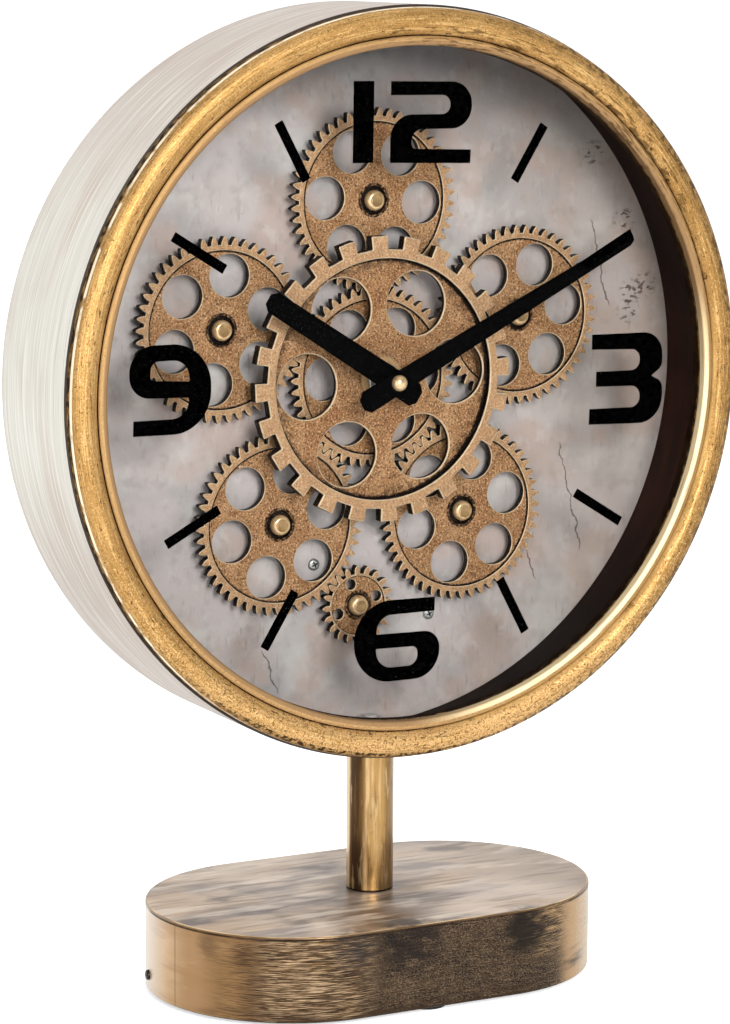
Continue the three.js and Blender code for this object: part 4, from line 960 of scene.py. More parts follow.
class Bench:
    """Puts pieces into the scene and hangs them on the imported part's bodies."""

    def __init__(self, loaded: dict[str, Any]) -> None:
        """Reads which body and which material slot each node belongs to.
        """
        record = loaded["record"]
        self.nodes = loaded["nodes"]
        self.body_of = {n: body for body, group in record["behaviour"]["bodies"].items() for n in group}
        self.slot_of = {row["node"]: row["material_slot"] for row in record["subparts"]}

    def extra(self, name: str, surface: Surface, finish: Finish, body: str, slot: str) -> bpy.types.Object:
        """Adds a piece.

        Args:
            name: the piece's name.
            surface: its shape.
            finish: its material.
            body: the body that it rides on.
            slot: the record's material slot; not used.

        Returns:
            The piece's object.
        """
        made = put(name, surface.mesh(name))
        made.data.materials.append(finish.material())
        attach(made, body)
        LOG.info("%s: %d faces in %s", name, len(made.data.polygons), finish.name)
        return made

    def stand_in(self, name: str, surface: Surface, finish: Finish, node: str) -> None:
        """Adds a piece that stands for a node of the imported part."""
        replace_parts(self.extra(name, surface, finish, self.body_of[node], self.slot_of[node]), node)

    def dress(self, finish: Finish, *names: str) -> None:
        """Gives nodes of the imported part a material.

        Args:
            finish: the material.
            names: the nodes.
        """
        for name in names:
            node = self.nodes[name]
            if not node.material_slots:
                node.data.materials.append(finish.material())
            for slot in node.material_slots:
                slot.material = finish.material()
            LOG.info("%s: packed node in %s", name, finish.name)


@dataclass
class Assembly:
    """Pieces that belong together, and the bench that they are put on."""

    bench: Bench


@dataclass
class Stand(Assembly):
    """Obround base on rubber pads, with its screws and the stem."""

    length: float = 199.4
    depth: float = 125.0
    foot_height: float = 2.0
    top: float = 38.4
    wall: float = 1.5
    fillet: float = 0.9
    chamfer: float = 0.4
    skirting: float = 1.5
    # Height of the painted shade line under the rim.
    rim_shade: float = 0.7
    foot_radius: float = 8.5
    foot_round: float = 0.5
    foot_edge: float = 0.2
    feet: tuple[Pair, ...] = ((0, -51.0), (88.2, 0), (0, 51.0), (-88.2, 0))
    stem_radius: float = 10.05
    stem_top: float = 103.4
    stem_joint: Pair = (0.3, 0.9)
    screw_angles: Pair = (168.0, -12.0)
    screw_height: float = 8.9
    screw_radius: float = 2.2
    screw_grip: Pair = (0.05, -4.0)
    screw_turn: float = 20.0

    def build(self) -> None:
        """Builds every piece of the stand."""
        self.bench.stand_in("base_body", self.base(), BASE_PATINA, "base_shell")
        self.bench.stand_in("stem", self.stem(), STEM_BRASS, "stem_tube")
        for i, (x, y) in enumerate(self.feet, 1):
            self.bench.stand_in(f"pad_{i}", self.foot(x, y), RUBBER, f"foot_{i}")
        for i, degrees in enumerate(self.screw_angles, 1):
            self.bench.stand_in(f"end_screw_{i}", self.screw(degrees), DARK_STEEL, f"base_screw_{i}")
        self.bench.dress(PLATE_BLACK, "base_plate")
        self.bench.dress(ZINC_FLAKE, "stem_rod", "stem_nut_upper", "stem_washer_upper")
        self.bench.dress(STEEL, "stem_nut_lower", "stem_washer_lower")

    def base(self) -> Surface:
        """The shell: an outer wall with a fillet under the top, open below.

        Returns:
            Its surface.
        """
        made = Surface(pose())
        wall, low, shoulder, cut = self.wall, self.foot_height, self.top - self.fillet, self.chamfer
        fillet = [(self.fillet - r, z) for r, z in arc((0, shoulder), (self.fillet, self.fillet), 0, 90, count=8)]
        profile = [(wall, self.top - wall), (wall, low), (cut, low), (0, low + cut), (0, low + self.skirting),
                   (0, shoulder - self.rim_shade), *fillet]
        # The foot of the wall carries grime with painted shade, and a line under the rim carries painted shade.
        wear_and_shade = [WearAndShade.NONE, *[WearAndShade.SHADE_AND_GRIME] * 2, *[WearAndShade.NONE] * 2, *[WearAndShade.SHADE_AND_STAIN] * 2, *[WearAndShade.TRIM] * 3, *[WearAndShade.EDGE] * 3]
        skin = made.rows(carried(rectangle(self.length, self.depth, self.depth / 2, steps=64), profile), wear_and_shade)
        made.flat([skin[0]])
        made.flat([skin[-1]])
        return made

    def stem(self) -> Surface:
        """The tube, closed at both ends, with a dark joint at its foot."""
        r, low, high, (cut, joint) = self.stem_radius, self.top, self.stem_top, self.stem_joint
        return Surface(pose()).lathe([(0, low), (r - cut, low), (r, low + cut), (r, low + joint), (r, high), (0, high)],
                                     (*[WearAndShade.SHADE_AND_GRIME] * 3, *[WearAndShade.NONE] * 2))

    def foot(self, x: float, y: float) -> Surface:
        """A round pad with a softened rim.

        Args:
            x: where it stands.
            y: where it stands.

        Returns:
            Its surface.
        """
        r, high, soft, cut = self.foot_radius, self.foot_height, self.foot_round, self.foot_edge
        rim = arc((r - soft, soft), (soft, soft), -90, 0, count=6)
        profile = [(0, 0), *rim, (r, high - cut), (r - cut, high), (0, high)]
        return Surface(pose(at=(x, y, 0))).lathe(profile, segments=SMALL)

    def screw(self, degrees: float) -> Surface:
        """A screw low on a round end.

        Args:
            degrees: direction that its head faces.

        Returns:
            Its surface.
        """
        x, y = polar(1, degrees)
        end = np.copysign((self.length - self.depth) / 2, x)
        place = pose(((-y, x, 0), (0, 0, 1), (x, y, 0)), (end, 0, self.screw_height), self.screw_turn)
        return Surface(place).screw(self.screw_radius, *[self.depth / 2 + grip for grip in self.screw_grip])


# Corners of the numerals as (x, z, corner radius) from the dial's middle: an outline, then any opening in it.
NUMERALS: dict[str, list[list[Point]]] = {
    "12_one": [[(-24.9, 125.1, 0), (-25.2, 91.9, 0), (-15.8, 91.9, 0), (-15.45, 125.0, 0)]],
    "12_two": [[(-7.7, 124.8, 0), (-7.8, 119.1, 0), (20.1, 118.8, 3.9), (20.1, 111.0, 3.9), (-7.9, 111.2, 10),
                (-8.0, 91.6, 0), (29.6, 90.6, 0), (29.9, 96.2, 0), (1.9, 97.2, 2), (1.9, 105.1, 5),
                (30.2, 105.0, 9.4), (30.2, 124.1, 9.4)]],
    "3": [[(90.1, 16.4, 0), (90.1, 10.0, 0), (114.2, 9.1, 4.3), (114.2, 0.2, 4.3), (92.4, 0.4, 0), (92.4, -6.0, 0),
           (114.4, -6.6, 4.4), (114.4, -15.8, 4.4), (89.3, -15.4, 0), (89.1, -22.1, 0), (125.7, -23.2, 11.5),
           (125.8, -5.4, 5), (120.2, -2.6, 0), (125.6, 1.2, 5), (125.5, 16.1, 9.5)]],
    "6": [[(14.9, -90.4, 0), (-23.4, -90.0, 17), (-23.4, -124.7, 17), (17.2, -124.7, 12), (17.2, -104.7, 7.5),
           (-12.8, -104.3, 0), (-12.8, -96.4, 7), (14.7, -96.3, 0)],
          [(-13.0, -110.4, 0), (6.7, -110.7, 2.8), (6.7, -118.8, 4.5), (-13.0, -118.8, 7.5)]],
    "9": [[(-123.4, -14.3, 0), (-123.2, -8.1, 0), (-98.8, -8.2, 7.5), (-98.8, 0.2, 0), (-124.9, 0.9, 9),
           (-124.9, 21.9, 11), (-88.9, 21.9, 17), (-88.9, -14.6, 17)],
          [(-98.6, 6.7, 0), (-98.6, 15.4, 7), (-115.7, 15.4, 4), (-115.7, 7.7, 1.5)]],
}


@dataclass
class Case(Assembly):
    """Drum, rear ring with its screws, bezel, liner, printed glass and the plaster dial."""

    drum: Pair = (154.5, 155.98)
    drum_span: Pair = (-35.6, 28.6)
    edge: float = 0.15
    ring: Pair = (147.95, 154.45)
    ring_front: float = 27.1
    block_angles: tuple[float, ...] = (45, 135, 225, 315)
    screw_circle: float = 151.2
    screw_radius: float = 2.4
    screw_length: float = 10.0
    screw_hole: float = 1.7
    screw_turn: float = 30.0
    liner: Pair = (151.5, 154.2)
    liner_span: Pair = (-28.9, 7.4)
    bezel_radius: float = 155.0
    bezel_flank: float = -38.6
    bezel_sheet: float = 1.2
    skirt_depth: float = 2.5
    moulding: Pair = (149.25, 5.75)
    crown: float = 4.4
    moulding_end: float = 165.0
    groove: Pair = (143.55, -39.55)
    bezel_inside: Profile = ((143.5, -38.9), (146, -39.6), (149.25, -41.6), (152.6, -40.4), (153.0, -38.0))
    bead: Pair = (141.5, 1.95)
    bead_base: float = -40.1
    bead_rise: float = 1.0
    bead_start: float = 8.0
    lip_bands: Pair = (3.0, 4.2)
    glass_front: float = -31.9
    print_span: Pair = (-28.85, -28.75)
    print_edge: float = 0.02
    mark_span: Pair = (97.2, 124.0)
    mark_width: float = 4.1
    mark_corner: float = 0.2
    mark_turn: float = 1.6
    marks: tuple[int, ...] = (1, 2, 4, 5, 7, 8, 10, 11)

    def build(self) -> None:
        """Builds every piece of the case."""
        self.bench.stand_in("drum", self.drum_wall(), CASE_PAINT, "case_drum")
        self.bench.stand_in("back_ring", self.back_ring(), CASE_PAINT, "rear_ring")
        self.bench.stand_in("bezel", self.bezel(), BEZEL_GOLD, "bezel_ring")
        self.bench.stand_in("liner", self.liner_wall(), LINER_BROWN, "inner_liner")
        self.bench.dress(LENS, "glass_lens")
        for hour in self.marks:
            self.bench.extra(f"mark_{hour}", self.mark(hour), PRINT_BLACK, "case", "hand_black")
        for name, loops in NUMERALS.items():
            paths = [filleted(loop, steps=16) for loop in loops]
            numeral = Surface(dial_pose()).plate(paths[0], self.print_span, self.print_edge, paths[1:])
            self.bench.extra(f"numeral_{name}", numeral, PRINT_BLACK, "case", "hand_black")
        self.bench.dress(DIAL_PLASTER, "dial_plate")
        for i, degrees in enumerate(self.block_angles, 1):
            self.bench.dress(UNIT_PLASTIC, f"dial_block_{i}")
            self.bench.stand_in(f"ring_screw_{i}", self.ring_screw(degrees), STEEL, f"block_screw_{i}")

    def drum_wall(self) -> Surface:
        """The drum, with its two edges broken."""
        inner, outer, front, back, e = *self.drum, *self.drum_span, self.edge
        profile = [(inner, front), (outer - e, front), (outer, front + e), (outer, back - e), (outer - e, back),
                   (inner, back), (inner, front)]
        # The front face and its broken edge take a near-black painted shadow where the bezel meets the drum.
        return Surface(dial_pose()).lathe(profile, (*[WearAndShade.SHADE_AND_GRIME] * 2, *[WearAndShade.NONE] * 4), FINE)

    def back_ring(self) -> Surface:
        """The ring that closes the rear edge, drilled for the block screws."""
        drilled = [circle(self.screw_hole, polar(self.screw_circle, degrees)) for degrees in self.block_angles]
        return Surface(dial_pose()).plate(circle(self.ring[1], segments=FINE), (self.ring_front, self.drum_span[1]),
                                          self.edge, [circle(self.ring[0], segments=FINE), *drilled])

    def ring_screw(self, degrees: float) -> Surface:
        """A screw through the rear ring into a block, at an angle round the dial."""
        seat, place = self.drum_span[1], dial_pose(*polar(self.screw_circle, degrees), self.screw_turn + degrees)
        return Surface(place).screw(self.screw_radius, seat, seat - self.screw_length)

    def liner_wall(self) -> Surface:
        """The strip between glass and dial."""
        inner, outer, front, back = *self.liner, *self.liner_span
        return Surface(dial_pose()).lathe(
            [(inner, front), (outer, front), (outer, back), (inner, back), (inner, front)], WearAndShade.NONE, FINE)

    def bezel(self) -> Surface:
        """The bezel: a flank, a half-round moulding, a groove and a bead, turned about the dial's axis.

        Returns:
            Its surface.
        """
        front, glass, skirt, low = self.drum_span[0], self.glass_front, self.liner[1], self.bead_base
        middle, half = self.moulding
        moulding = arc((middle, self.bezel_flank), (half, -self.crown), 0, self.moulding_end, count=26)
        bead = arc((self.bead[0], low), (self.bead[1], -self.bead_rise), self.bead_start, 180, count=14)
        lip, sheet = self.bead[0] - self.bead[1], self.bezel_sheet
        start = (skirt, front + self.skirt_depth)
        outside = [start, (skirt, front), (self.bezel_radius, front), *moulding, self.groove, *bead,
                   *[(lip, low + band) for band in self.lip_bands], (lip, glass)]
        inside = [(lip + sheet, glass), (lip + sheet, low + sheet), *self.bezel_inside,
                  (skirt - sheet, start[1]), start]
        # The flank and groove carry grime with painted shade, three strips on the outer shoulder a painted highlight,
        # and the bead the edge faces that take a painted highlight at the lower right.
        wear_and_shade = [WearAndShade.NONE, WearAndShade.SHADE_AND_GRIME, WearAndShade.SHADE_AND_STAIN, *[WearAndShade.PAINTED_HIGHLIGHT] * 3, *[WearAndShade.SCUFF] * 5, *[WearAndShade.NONE] * 16, WearAndShade.SHADE_AND_STAIN,
                *[WearAndShade.SHADE_AND_GRIME] * 2, *[WearAndShade.TRIM] * 6, *[WearAndShade.EDGE] * 8, WearAndShade.SHADE_AND_STAIN, WearAndShade.SHADE_AND_GRIME,
                *[WearAndShade.NONE] * len(inside)]
        return Surface(dial_pose()).lathe([*outside, *inside], wear_and_shade, FINE)

    def mark(self, hour: int) -> Surface:
        """A bar that marks an hour.

        Args:
            hour: which hour.

        Returns:
            Its surface.
        """
        low, high, half, r = *self.mark_span, self.mark_width / 2, self.mark_corner
        path = filleted([(-half, low, r), (half, low, r), (half, high, r), (-half, high, r)])
        place = dial_pose(turn=-HOUR_DEGREES * hour - self.mark_turn)
        return Surface(place).plate(path, self.print_span, self.print_edge)


@dataclass(frozen=True)
class Wheel:
    """A toothed wheel with a raised rim, round windows and a middle.

    Attributes:
        teeth: number of teeth.
        step: radius at which the rim drops to the web.
        windows: number, radius and circle of the windows.
        middle: profile of the hole in the middle, from the web to the back.
        middle_wear_and_shade: which strips of the middle are worn and which carry painted shade.
        front: depth of the rim's front.
        back: depth of its back.
        web: depth of the web's front.
        bevel: width of the rubbed edges.
        shade: where a stain begins and ends, as shares of the room between the step and the windows.
        module: pitch diameter for each tooth.
        backlash: play between meshing teeth.
        pressure: pressure angle.
        root_depth: modules from the pitch circle to the root.
        narrowing: share by which a tip is narrowed.
    """

    teeth: int
    step: float
    windows: tuple[int, float, float]
    middle: Profile
    middle_wear_and_shade: tuple[WearAndShade, ...]
    front: float = -0.6
    back: float = 3.4
    web: float = 0.1
    bevel: float = 0.3
    shade: Pair = (0.55, 0.9)
    module: float = 1.545
    backlash: float = 0.16
    pressure: float = 20.0
    root_depth: float = 1.25
    narrowing: float = 0.4

    def outline(self) -> np.ndarray:
        """Outline of involute teeth with narrowed tips.

        The half angle at radius r is s / 2p + inv(a) - inv(acos(b / r)), for thickness s, pitch radius p, pressure
        angle a and base radius b. Beyond the pitch circle it shrinks with the square of the way to the tip.

        Returns:
            The closed path, anticlockwise.
        """
        pitch = self.module * self.teeth / 2
        root, tip = pitch - self.root_depth * self.module, pitch + self.module
        angle = np.radians(self.pressure)
        r = np.linspace(root, tip, 7)
        turn = np.arccos(np.minimum(1, pitch * np.cos(angle) / r))
        half = (np.pi * self.module / 2 - self.backlash) / (2 * pitch) + np.tan(angle) - angle - np.tan(turn) + turn
        half = half * (1 - self.narrowing * ((r - pitch) / (tip - pitch)).clip(0) ** 2)
        offsets = np.concatenate([-half, half[::-1]])
        radii = np.concatenate([r, r[::-1]])
        t = (np.arange(self.teeth) * 2 * np.pi / self.teeth)[:, None] + offsets
        return np.stack([radii * np.cos(t), radii * np.sin(t)], axis=-1).reshape(-1, 2)

    def surface(self, place: np.ndarray) -> Surface:
        """The whole wheel.

        Args:
            place: where it stands and how it is turned.

        Returns:
            Its surface.
        """
        made = Surface(place)
        b, front, back, web, inner = self.bevel, self.front, self.back, self.web, self.step
        count, radius, reach = self.windows
        room = inner - reach - radius - b
        # Tooth flanks, the step's wall, a band at its foot, window walls and the back carry painted shade.
        rim = made.rows(carried(self.outline(), [(b, front), (0, front + b), (0, back - b), (b, back)]),
                        (WearAndShade.EDGE, WearAndShade.SHADE_AND_GRIME, WearAndShade.SHADE_AND_GRIME))
        drop = [(inner + b, front), (inner, front + b), (inner, web), *[(inner - s * room, web) for s in self.shade]]
        step = made.rows(ring(drop, segments=FINE), (WearAndShade.EDGE, WearAndShade.SHADE_AND_GRIME, WearAndShade.SHADE_AND_GRIME, WearAndShade.SHADE_AND_STAIN))
        wall = [(radius + b, web), (radius, web + b), (radius, back)]
        holes = [made.rows(ring(wall, polar(reach, 360 * i / count), SMALL), (WearAndShade.EDGE, WearAndShade.SHADE_AND_GRIME))
                 for i in range(count)]
        middle = made.rows(ring(self.middle, segments=SMALL), self.middle_wear_and_shade)
        made.flat([rim[0], step[0]], WearAndShade.TRIM)
        made.flat([step[-1], *[hole[0] for hole in holes], middle[0]])
        made.flat([rim[-1], *[hole[-1] for hole in holes], middle[-1]], WearAndShade.SHADE_AND_GRIME)
        return made


@dataclass(frozen=True)
class SquareWheel(Wheel):
    """A wheel whose teeth are square blocks."""

    tip: float = 60.3
    root: float = 54.7
    share: float = 0.5
    corner: float = 0.5

    def outline(self) -> np.ndarray:
        """Outline of square teeth with softened corners.

        Returns:
            The closed path, anticlockwise.
        """
        pitch = 360 / self.teeth
        half = pitch * self.share / 2
        corners = [(*polar(r, i * pitch + a), self.corner) for i in range(self.teeth)
                   for r, a in ((self.root, -half), (self.tip, -half), (self.tip, half), (self.root, half))]
        return filleted(corners, steps=4)


SUN = Wheel(teeth=48, step=33.0, windows=(6, 9.0, 22.7), middle=((6.85, 0.1), (6.55, 0.4), (6.55, 3.4)),
            middle_wear_and_shade=(WearAndShade.EDGE, WearAndShade.SHADE_AND_GRIME))
# The planets' middles sink round the pins; the sunk ring is painted dark, partly as grime and partly as shade.
PLANET = replace(SUN, middle_wear_and_shade=(WearAndShade.SHADE_AND_STAIN, *[WearAndShade.SHADE_AND_GRIME] * 6), middle=(
    (7.2, 0.1), (6.1, 0.1), (5.6, 0.6), (5.4, 1.2), (3.06, 1.2), (3.06, 7.1), (5.5, 7.1), (5.5, 3.4)))
PINION = Wheel(teeth=20, step=12.7, windows=(4, 2.35, 9.6), middle_wear_and_shade=(WearAndShade.SHADE_AND_STAIN, *[WearAndShade.SHADE_AND_GRIME] * 3),
               middle=((6.4, 0.1), (5.2, 0.1), (5.0, 0.6), (2.1, 0.6), (2.1, 3.4)))
FACE = SquareWheel(teeth=24, step=50.8, windows=(6, 13.75, 35.0), middle=((9.75, -8.0), (9.45, -7.7), (9.45, -5.5)),
                   middle_wear_and_shade=(WearAndShade.EDGE, WearAndShade.SHADE_AND_GRIME), front=-11.0, back=-5.5, web=-8.0, bevel=0.5)


@dataclass
class Train(Assembly):
    """Sun, planets, pinion and face gear, with their sleeve, collar and pins."""

    planet_circle: float = 74.16
    tooth_steps: tuple[int, ...] = (-1, -4, 0, -5, -1)
    pinion_at: Pair = (-6.446, -97.141)
    pinion_direction: float = -45.0
    driven: int = 3
    face_turn: float = 2.5
    head_radius: float = 4.35
    head_front: float = -3.3
    head_flat: float = 0.6
    head_lip: Pair = (0.2, 0.15)
    head_drop: float = 0.5
    dish: float = 0.35
    journal: Profile = ((4.35, 0.1), (3, 0.1), (3, 7.4), (2, 7.4), (2, 8.4), (3, 8.4), (3, 9.0), (2.7, 9.2), (0, 9.2))
    stud: Profile = ((4.35, 0.3), (2.1, 0.3), (2.1, -2.3), (0, -2.3))
    sleeve: Profile = ((4.15, -8.4), (9.2, -8.4), (9.4, -8.2), (9.4, -5.5), (12, -5.5), (12, -0.6), (6.5, -0.6),
                       (6.5, 3.4), (4.15, 3.4), (4.15, -8.4))
    collar: Profile = ((4.1, -10.7), (6.8, -10.7), (7.0, -10.5), (7.0, -8.9), (6.8, -8.7), (4.1, -8.7), (4.1, -10.7))

    def build(self) -> None:
        """Builds the wheels and what they turn on."""
        self.bench.stand_in("sun_wheel", SUN.surface(dial_pose()), GEAR_BRONZE, "sun_gear")
        for i in range(len(self.tooth_steps)):
            at = polar(self.planet_circle, self.direction(i))
            wheel = PLANET.surface(dial_pose(*at, self.planet_turn(i)))
            self.bench.stand_in(f"planet_wheel_{i + 1}", wheel, GEAR_BRONZE, f"planet_gear_{i + 1}")
            self.bench.stand_in(f"pin_{i + 1}", self.button(at, self.journal), STUD_BRASS, f"planet_pin_{i + 1}")
        pinion = PINION.surface(dial_pose(*self.pinion_at, self.pinion_turn()))
        self.bench.stand_in("pinion_wheel", pinion, GEAR_BRONZE, "pinion_gear")
        self.bench.stand_in("pinion_button", self.button(self.pinion_at, self.stud), STUD_BRASS, "pinion_stud")
        self.bench.stand_in("face_wheel", FACE.surface(dial_pose(turn=self.face_turn)), GEAR_BRONZE, "face_gear")
        self.bench.stand_in("sleeve", Surface(dial_pose()).lathe(self.sleeve), NYLON, "hub_sleeve")
        self.bench.stand_in("collar", Surface(dial_pose()).lathe(self.collar), STEEL, "hub_collar")
        self.bench.dress(STEEL, "motor_shaft")

    def direction(self, i: int) -> float:
        """Direction from the sun wheel to a planet."""
        return 90 - 360 // len(self.tooth_steps) * i

    def planet_turn(self, i: int) -> float:
        """A planet's turn at which its gaps face the sun wheel's teeth."""
        return 2 * self.direction(i) + 180 + 360 / PLANET.teeth * (0.5 + self.tooth_steps[i])

    def pinion_turn(self) -> float:
        """The pinion's turn at which its teeth face the gaps of the planet that it drives."""
        phase = (self.planet_turn(self.driven) - self.pinion_direction) / (360 / PLANET.teeth)
        return self.pinion_direction + 180 + 360 / PINION.teeth * (0.5 - phase)

    def button(self, at: Pair, shank: Profile) -> Surface:
        """A button head with a dished top and a round shoulder, on a shank.

        Args:
            at: where it stands.
            shank: profile from the head's rim to the axis.

        Returns:
            Its surface.
        """
        top, seat, r, (lip, fall) = self.head_front, SUN.front, self.head_radius, self.head_lip
        flat = self.head_flat * r
        shoulder = arc((flat + lip / 2, seat), (r - flat - lip / 2, top + self.head_drop - seat), 90, 0, count=10)
        profile = [(0, top + self.dish), (flat - lip, top), (flat, top + fall), *shoulder, *shank]
        return Surface(dial_pose(*at)).lathe(profile, (WearAndShade.TRIM, *[WearAndShade.NONE] * (len(profile) - 2)), SMALL)


# Half profile of a cell from its flat end to its terminal, and how each strip looks: bare metal, film, gold band.
CELL: Profile = ((0, 0), (5.6, 0), (6.6, 0.2), (6.85, 0.6), (7, 0.9), (7, 33), (7, 47.6), (6.6, 48.3), (6.2, 48.5),
                 (2.9, 48.5), (2.7, 48.7), (2.7, 49.7), (2.4, 50), (0, 50))
CELL_WEAR = (*[WearAndShade.EDGE] * 4, WearAndShade.NONE, *[WearAndShade.TRIM] * 3, *[WearAndShade.EDGE] * 5)


@dataclass
class Unit(Assembly):
    """A closed unit behind the dial, with a cell in an open bay in its back."""

    name: str = ""
    cell_node: str = ""
    at: Pair = (0.0, 0.0)
    turn: float = 0.0
    size: Point = (56.0, 56.0, 4.0)
    span: Pair = (8.4, 23.7)
    bay: Point = (51.0, 14.6, 1.0)
    bay_rise: float = 0.0
    bay_edge: float = 0.4
    bay_floor: float = 0.9
    front_edge: float = 0.3
    back_edge: Pair = (0.25, 0.8)
    cell_start: float = -25.0
    cell_depth: float = 16.6

    def build(self) -> None:
        """Builds the housing and its cell, which lies along the unit's own u."""
        along, up = np.array(polar(1, self.turn)), np.array(polar(1, self.turn + 90))
        x, z = np.array(self.at) + self.cell_start * along + self.bay_rise * up
        axes = ((0, 1, 0), (up[0], 0, up[1]), (along[0], 0, along[1]))
        cell = Surface(pose(axes, (x, self.cell_depth, CENTRE_HEIGHT + z))).lathe(CELL, CELL_WEAR)
        self.bench.stand_in(self.name, self.housing(), UNIT_PLASTIC, f"{self.name}_case")
        self.bench.stand_in(f"{self.name}_cell", cell, CELL_FILM, self.cell_node)

    def housing(self) -> Surface:
        """The moulded case: a box with softened edges, and the bay sunk into its back.

        Returns:
            Its surface.
        """
        made = Surface(dial_pose(*self.at, self.turn))
        (front, back), cut, (soft, reach), rim = self.span, self.front_edge, self.back_edge, self.bay_edge
        sides = [(cut, front), (0, front + cut), (0, back - reach), (soft, back - soft), (reach, back)]
        body = made.rows(carried(rectangle(*self.size), sides))
        bay = rectangle(*self.bay)[::-1] + np.array([0, self.bay_rise])
        well = made.rows(carried(bay, [(rim, back), (0, back - rim), (0, front + self.bay_floor)]))
        made.flat([body[0]])
        made.flat([body[-1], well[0]])
        made.flat([well[-1]])
        return made


@dataclass(frozen=True)
class Hand:
    """A bar hand that points along v, with cut corners.

    Attributes:
        length: reach of the tip.
        tail: reach of the tail.
        tip_width: width near the tip.
        tail_width: width near the tail.
        span: depths of its front and its back.
        hole: radius of its hole.
        time: its angle from twelve.
        cut: length of the cut corners.
        edge: width of the bevels.
        corner: radius of the corners.
    """

    length: float
    tail: float
    tip_width: float
    tail_width: float
    span: Pair
    hole: float
    time: float
    cut: float = 2.6
    edge: float = 0.15
    corner: float = 0.4

    def surface(self) -> Surface:
        """The hand as a plate, mirrored about its length.

        Returns:
            Its surface.
        """
        tip, end, r = self.tip_width / 2, self.tail_width / 2, self.corner
        right = [(end - self.cut, -self.tail, r), (end, self.cut - self.tail, r),
                 (tip, self.length - self.cut, r), (tip / 2, self.length, r)]
        path = filleted([*right, *[(-u, v, r) for u, v, r in right[::-1]]], steps=4)
        return Surface(dial_pose(turn=-self.time)).plate(path, self.span, self.edge, [circle(self.hole)])


HANDS = {
    "hour": Hand(length=69.5, tail=13.5, tip_width=9.0, tail_width=10.4, span=(-20.2, -19.4), hole=2.78, time=302.3),
    "minute": Hand(length=126.8, tail=19.0, tip_width=5.2, tail_width=9.8, span=(-23.2, -22.4), hole=1.6, time=63.5)}


@dataclass
class Movement(Unit):
    """Quartz movement with its neck, hands and setting knob."""

    name: str = "movement"
    cell_node: str = "clock_battery"
    bay_rise: float = -17.0
    cap_radius: float = 3.35
    cap_front: float = -26.5
    cap_rim: float = 0.8
    cap_bore: Pair = (1.6, 1.8)
    knob_rise: float = 13.0
    knob_gap: float = 0.3
    knob_height: float = 2.7
    knob_shaft: Pair = (1.5, 6.3)
    knob_radius: float = 5.5
    knob_edges: Pair = (0.2, 0.4)
    rib_depth: float = 0.5
    rib_round: float = 0.3
    rib_sides: int = 24

    def build(self) -> None:
        """Builds the movement's pieces."""
        super().build()
        for name, hand in HANDS.items():
            self.bench.stand_in(f"{name}_bar", hand.surface(), HAND_BLACK, f"{name}_hand")
        self.bench.stand_in("cap", self.cap(), STUD_BRASS, "hand_cap")
        self.bench.stand_in("knob", self.knob(), UNIT_PLASTIC, "set_knob")
        self.bench.dress(STUD_BRASS, "movement_neck", "neck_nut", "hour_pipe")
        self.bench.dress(STEEL, "neck_washer", "minute_arbor")

    def cap(self) -> Surface:
        """The brass button on the minute arbor, an elliptical dome over a short rim.

        Returns:
            Its surface.
        """
        front, r = HANDS["minute"].span[0], self.cap_radius
        bore, depth = self.cap_bore
        dome = arc((0, front - self.cap_rim), (r, self.cap_front - front + self.cap_rim), 90, 0, count=14)
        profile = [*dome, (r, front), (bore, front), (bore, front - depth), (0, front - depth)]
        return Surface(dial_pose()).lathe(profile, segments=SMALL)

    def knob(self) -> Surface:
        """The ribbed setting knob with its shaft.

        Returns:
            Its surface.
        """
        made = Surface(dial_pose(0, self.knob_rise))
        seat, (shaft, length), (low, high) = self.span[1] + self.knob_gap, self.knob_shaft, self.knob_edges
        top, end = seat + self.knob_height, seat - length
        ribs = filleted([(*polar(self.knob_radius - self.rib_depth * (i % 2), 360 / self.rib_sides * i), self.rib_round)
                         for i in range(self.rib_sides)], steps=3)
        skin = made.rows(carried(ribs, [(low, seat), (0, seat + low), (0, top - high), (high, top)]))
        stub = made.rows(ring([(shaft, seat), (shaft, end), (0, end)], segments=SMALL))
        made.flat([skin[0], stub[0]])
        made.flat([skin[-1]])
        return made


@dataclass
class Motor(Unit):
    """Gear motor with the two screws that show beside the pinion."""

    name: str = "motor"
    cell_node: str = "motor_battery"
    at: Pair = (3.85, -92.35)
    turn: float = -24.8
    size: Point = (68.0, 42.0, 3.0)
    bay_rise: float = 10.0
    screw_reaches: Pair = (-30.65, 30.65)
    screw_radius: float = 2.6
    screw_span: Pair = (7.4, 15.4)
    screw_turn: float = 25.0

    def build(self) -> None:
        """Builds the motor's pieces."""
        super().build()
        for i, reach in enumerate(self.screw_reaches, 1):
            x, z = np.array(self.at) + np.array(polar(reach, self.turn))
            made = Surface(dial_pose(x, z, self.screw_turn)).screw(self.screw_radius, *self.screw_span)
            self.bench.stand_in(f"dial_screw_{i}", made, STEEL, f"motor_screw_{i}")


@dataclass(frozen=True)
class Lamp:
    """A soft square white light.

    Attributes:
        name: which light it is.
        at: where it hangs, in metres.
        aim: what it points at, in metres.
        side: length of its side, in metres.
        power: watts.
    """

    name: str
    at: Point
    aim: Point
    side: float
    power: float


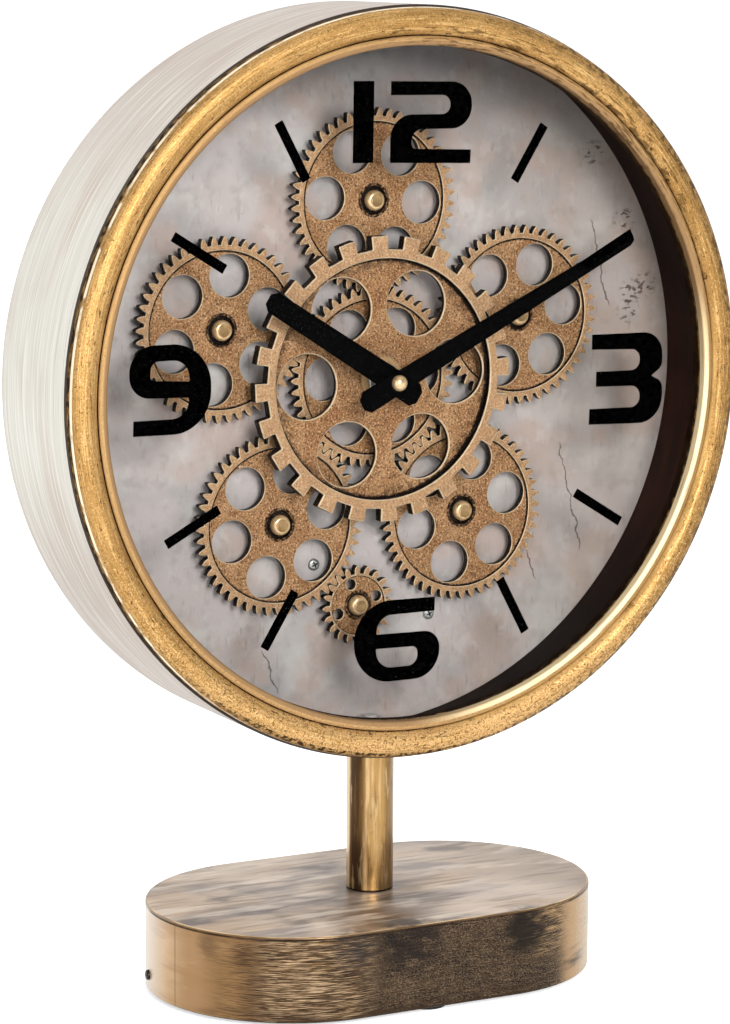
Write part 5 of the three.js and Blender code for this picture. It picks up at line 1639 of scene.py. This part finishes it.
@dataclass
class Studio:
    """White room, soft lights and the camera that saw the clock."""

    azimuth: float = -28.006
    elevation: float = 9.324
    distance: float = 1507.675
    target: Point = (-3.271, 0.0, 202.003)
    roll: float = 0.344
    focal: float = 125.40
    sensor: float = 36.0
    clip: Pair = (0.01, 100)
    floor_side: float = 40.0
    room: float = 0.42
    backdrop: float = 0.85
    backdrop_span: Pair = (-0.8, 0.6)
    lamps: tuple[Lamp, ...] = (
        Lamp("key", (-0.3, -2.07, 0.95), (0, 0, 0.26), 0.8, 50),
        Lamp("left", (-1.8, -1.4, 0.6), (0, 0, 0.24), 1.2, 16),
        Lamp("top", (0.2, -0.2, 2.4), (0, 0, 0.2), 1.2, 8))

    def build(self) -> None:
        """Builds the room."""
        self.floor()
        self.world()
        for lamp in self.lamps:
            self.light(lamp)
        self.camera()

    def floor(self) -> None:
        """A wide sheet of paper under the clock."""
        half = self.floor_side / 2
        made = bpy.data.meshes.new("floor")
        made.from_pydata([(-half, -half, 0), (half, -half, 0), (half, half, 0), (-half, half, 0)], [], [(0, 1, 2, 3)])
        made.materials.append(FLOOR.material())
        put("floor", made)

    def world(self) -> None:
        """White to the camera, a white backdrop in a dimmer room to metal and glass, and a duller one to the rest."""
        world = bpy.data.worlds.new("studio")
        bpy.context.scene.world = world
        world.use_nodes = True
        graph = Graph(world.node_tree)
        way = graph.add("TexCoord", output="Generated")
        facing = graph.add("VectorMath", {0: way, 1: BACK}, "Value", operation="DOT_PRODUCT")
        backdrop = graph.add("Mix", {0: graph.rays(*MIRRORED), 2: self.backdrop, 3: 1.0})
        limits = dict(zip(("From Min", "From Max"), self.backdrop_span))
        room = graph.add("MapRange", {"Value": facing, **limits, "To Min": self.room, "To Max": backdrop},
                         interpolation_type="SMOOTHSTEP")
        power = graph.add("Mix", {0: graph.rays("Is Camera Ray"), 2: room, 3: 1.0})
        back = graph.add("Background", {"Color": linear("#ffffff"), "Strength": power})
        graph.add("OutputWorld", {"Surface": back})

    def light(self, lamp: Lamp) -> None:
        """Hangs a soft light.

        Args:
            lamp: which one.
        """
        data = bpy.data.lights.new(lamp.name, "AREA")
        data.size, data.energy = lamp.side, lamp.power
        made = put(lamp.name, data)
        made.location = lamp.at
        made.rotation_mode = "QUATERNION"
        made.rotation_quaternion = (Vector(lamp.aim) - Vector(lamp.at)).to_track_quat("-Z", "Y")

    def camera(self) -> None:
        """The camera, placed on a sphere about its target and rolled a little."""
        a, e, r = np.radians([self.azimuth, self.elevation, self.roll])
        back = np.array([np.sin(a) * np.cos(e), -np.cos(a) * np.cos(e), np.sin(e)])
        right = np.cross(-back, [0, 0, 1])
        right = right / np.linalg.norm(right)
        up = np.cross(right, -back)
        right, up = right * np.cos(r) + up * np.sin(r), up * np.cos(r) - right * np.sin(r)
        place = np.eye(4)
        place[:3, :3] = np.stack([right, up, back], axis=1)
        place[:3, 3] = (np.array(self.target) + back * self.distance) * MM
        data = bpy.data.cameras.new("camera")
        data.lens, data.sensor_width, data.sensor_fit = self.focal, self.sensor, "AUTO"
        data.clip_start, data.clip_end = self.clip
        made = put("camera", data)
        made.matrix_world = Matrix(place.tolist())
        bpy.context.scene.camera = made


def main() -> None:
    """Builds the clock and its studio."""
    logging.basicConfig(level=logging.INFO, format="%(name)s %(message)s")
    bench = Bench(frame)
    for assembly in (Stand, Case, Train, Movement, Motor):
        LOG.info("building %s", assembly.__name__)
        assembly(bench).build()
    Studio().build()
    bpy.context.scene.view_settings.view_transform = "Standard"


if __name__ == "__main__":
    main()
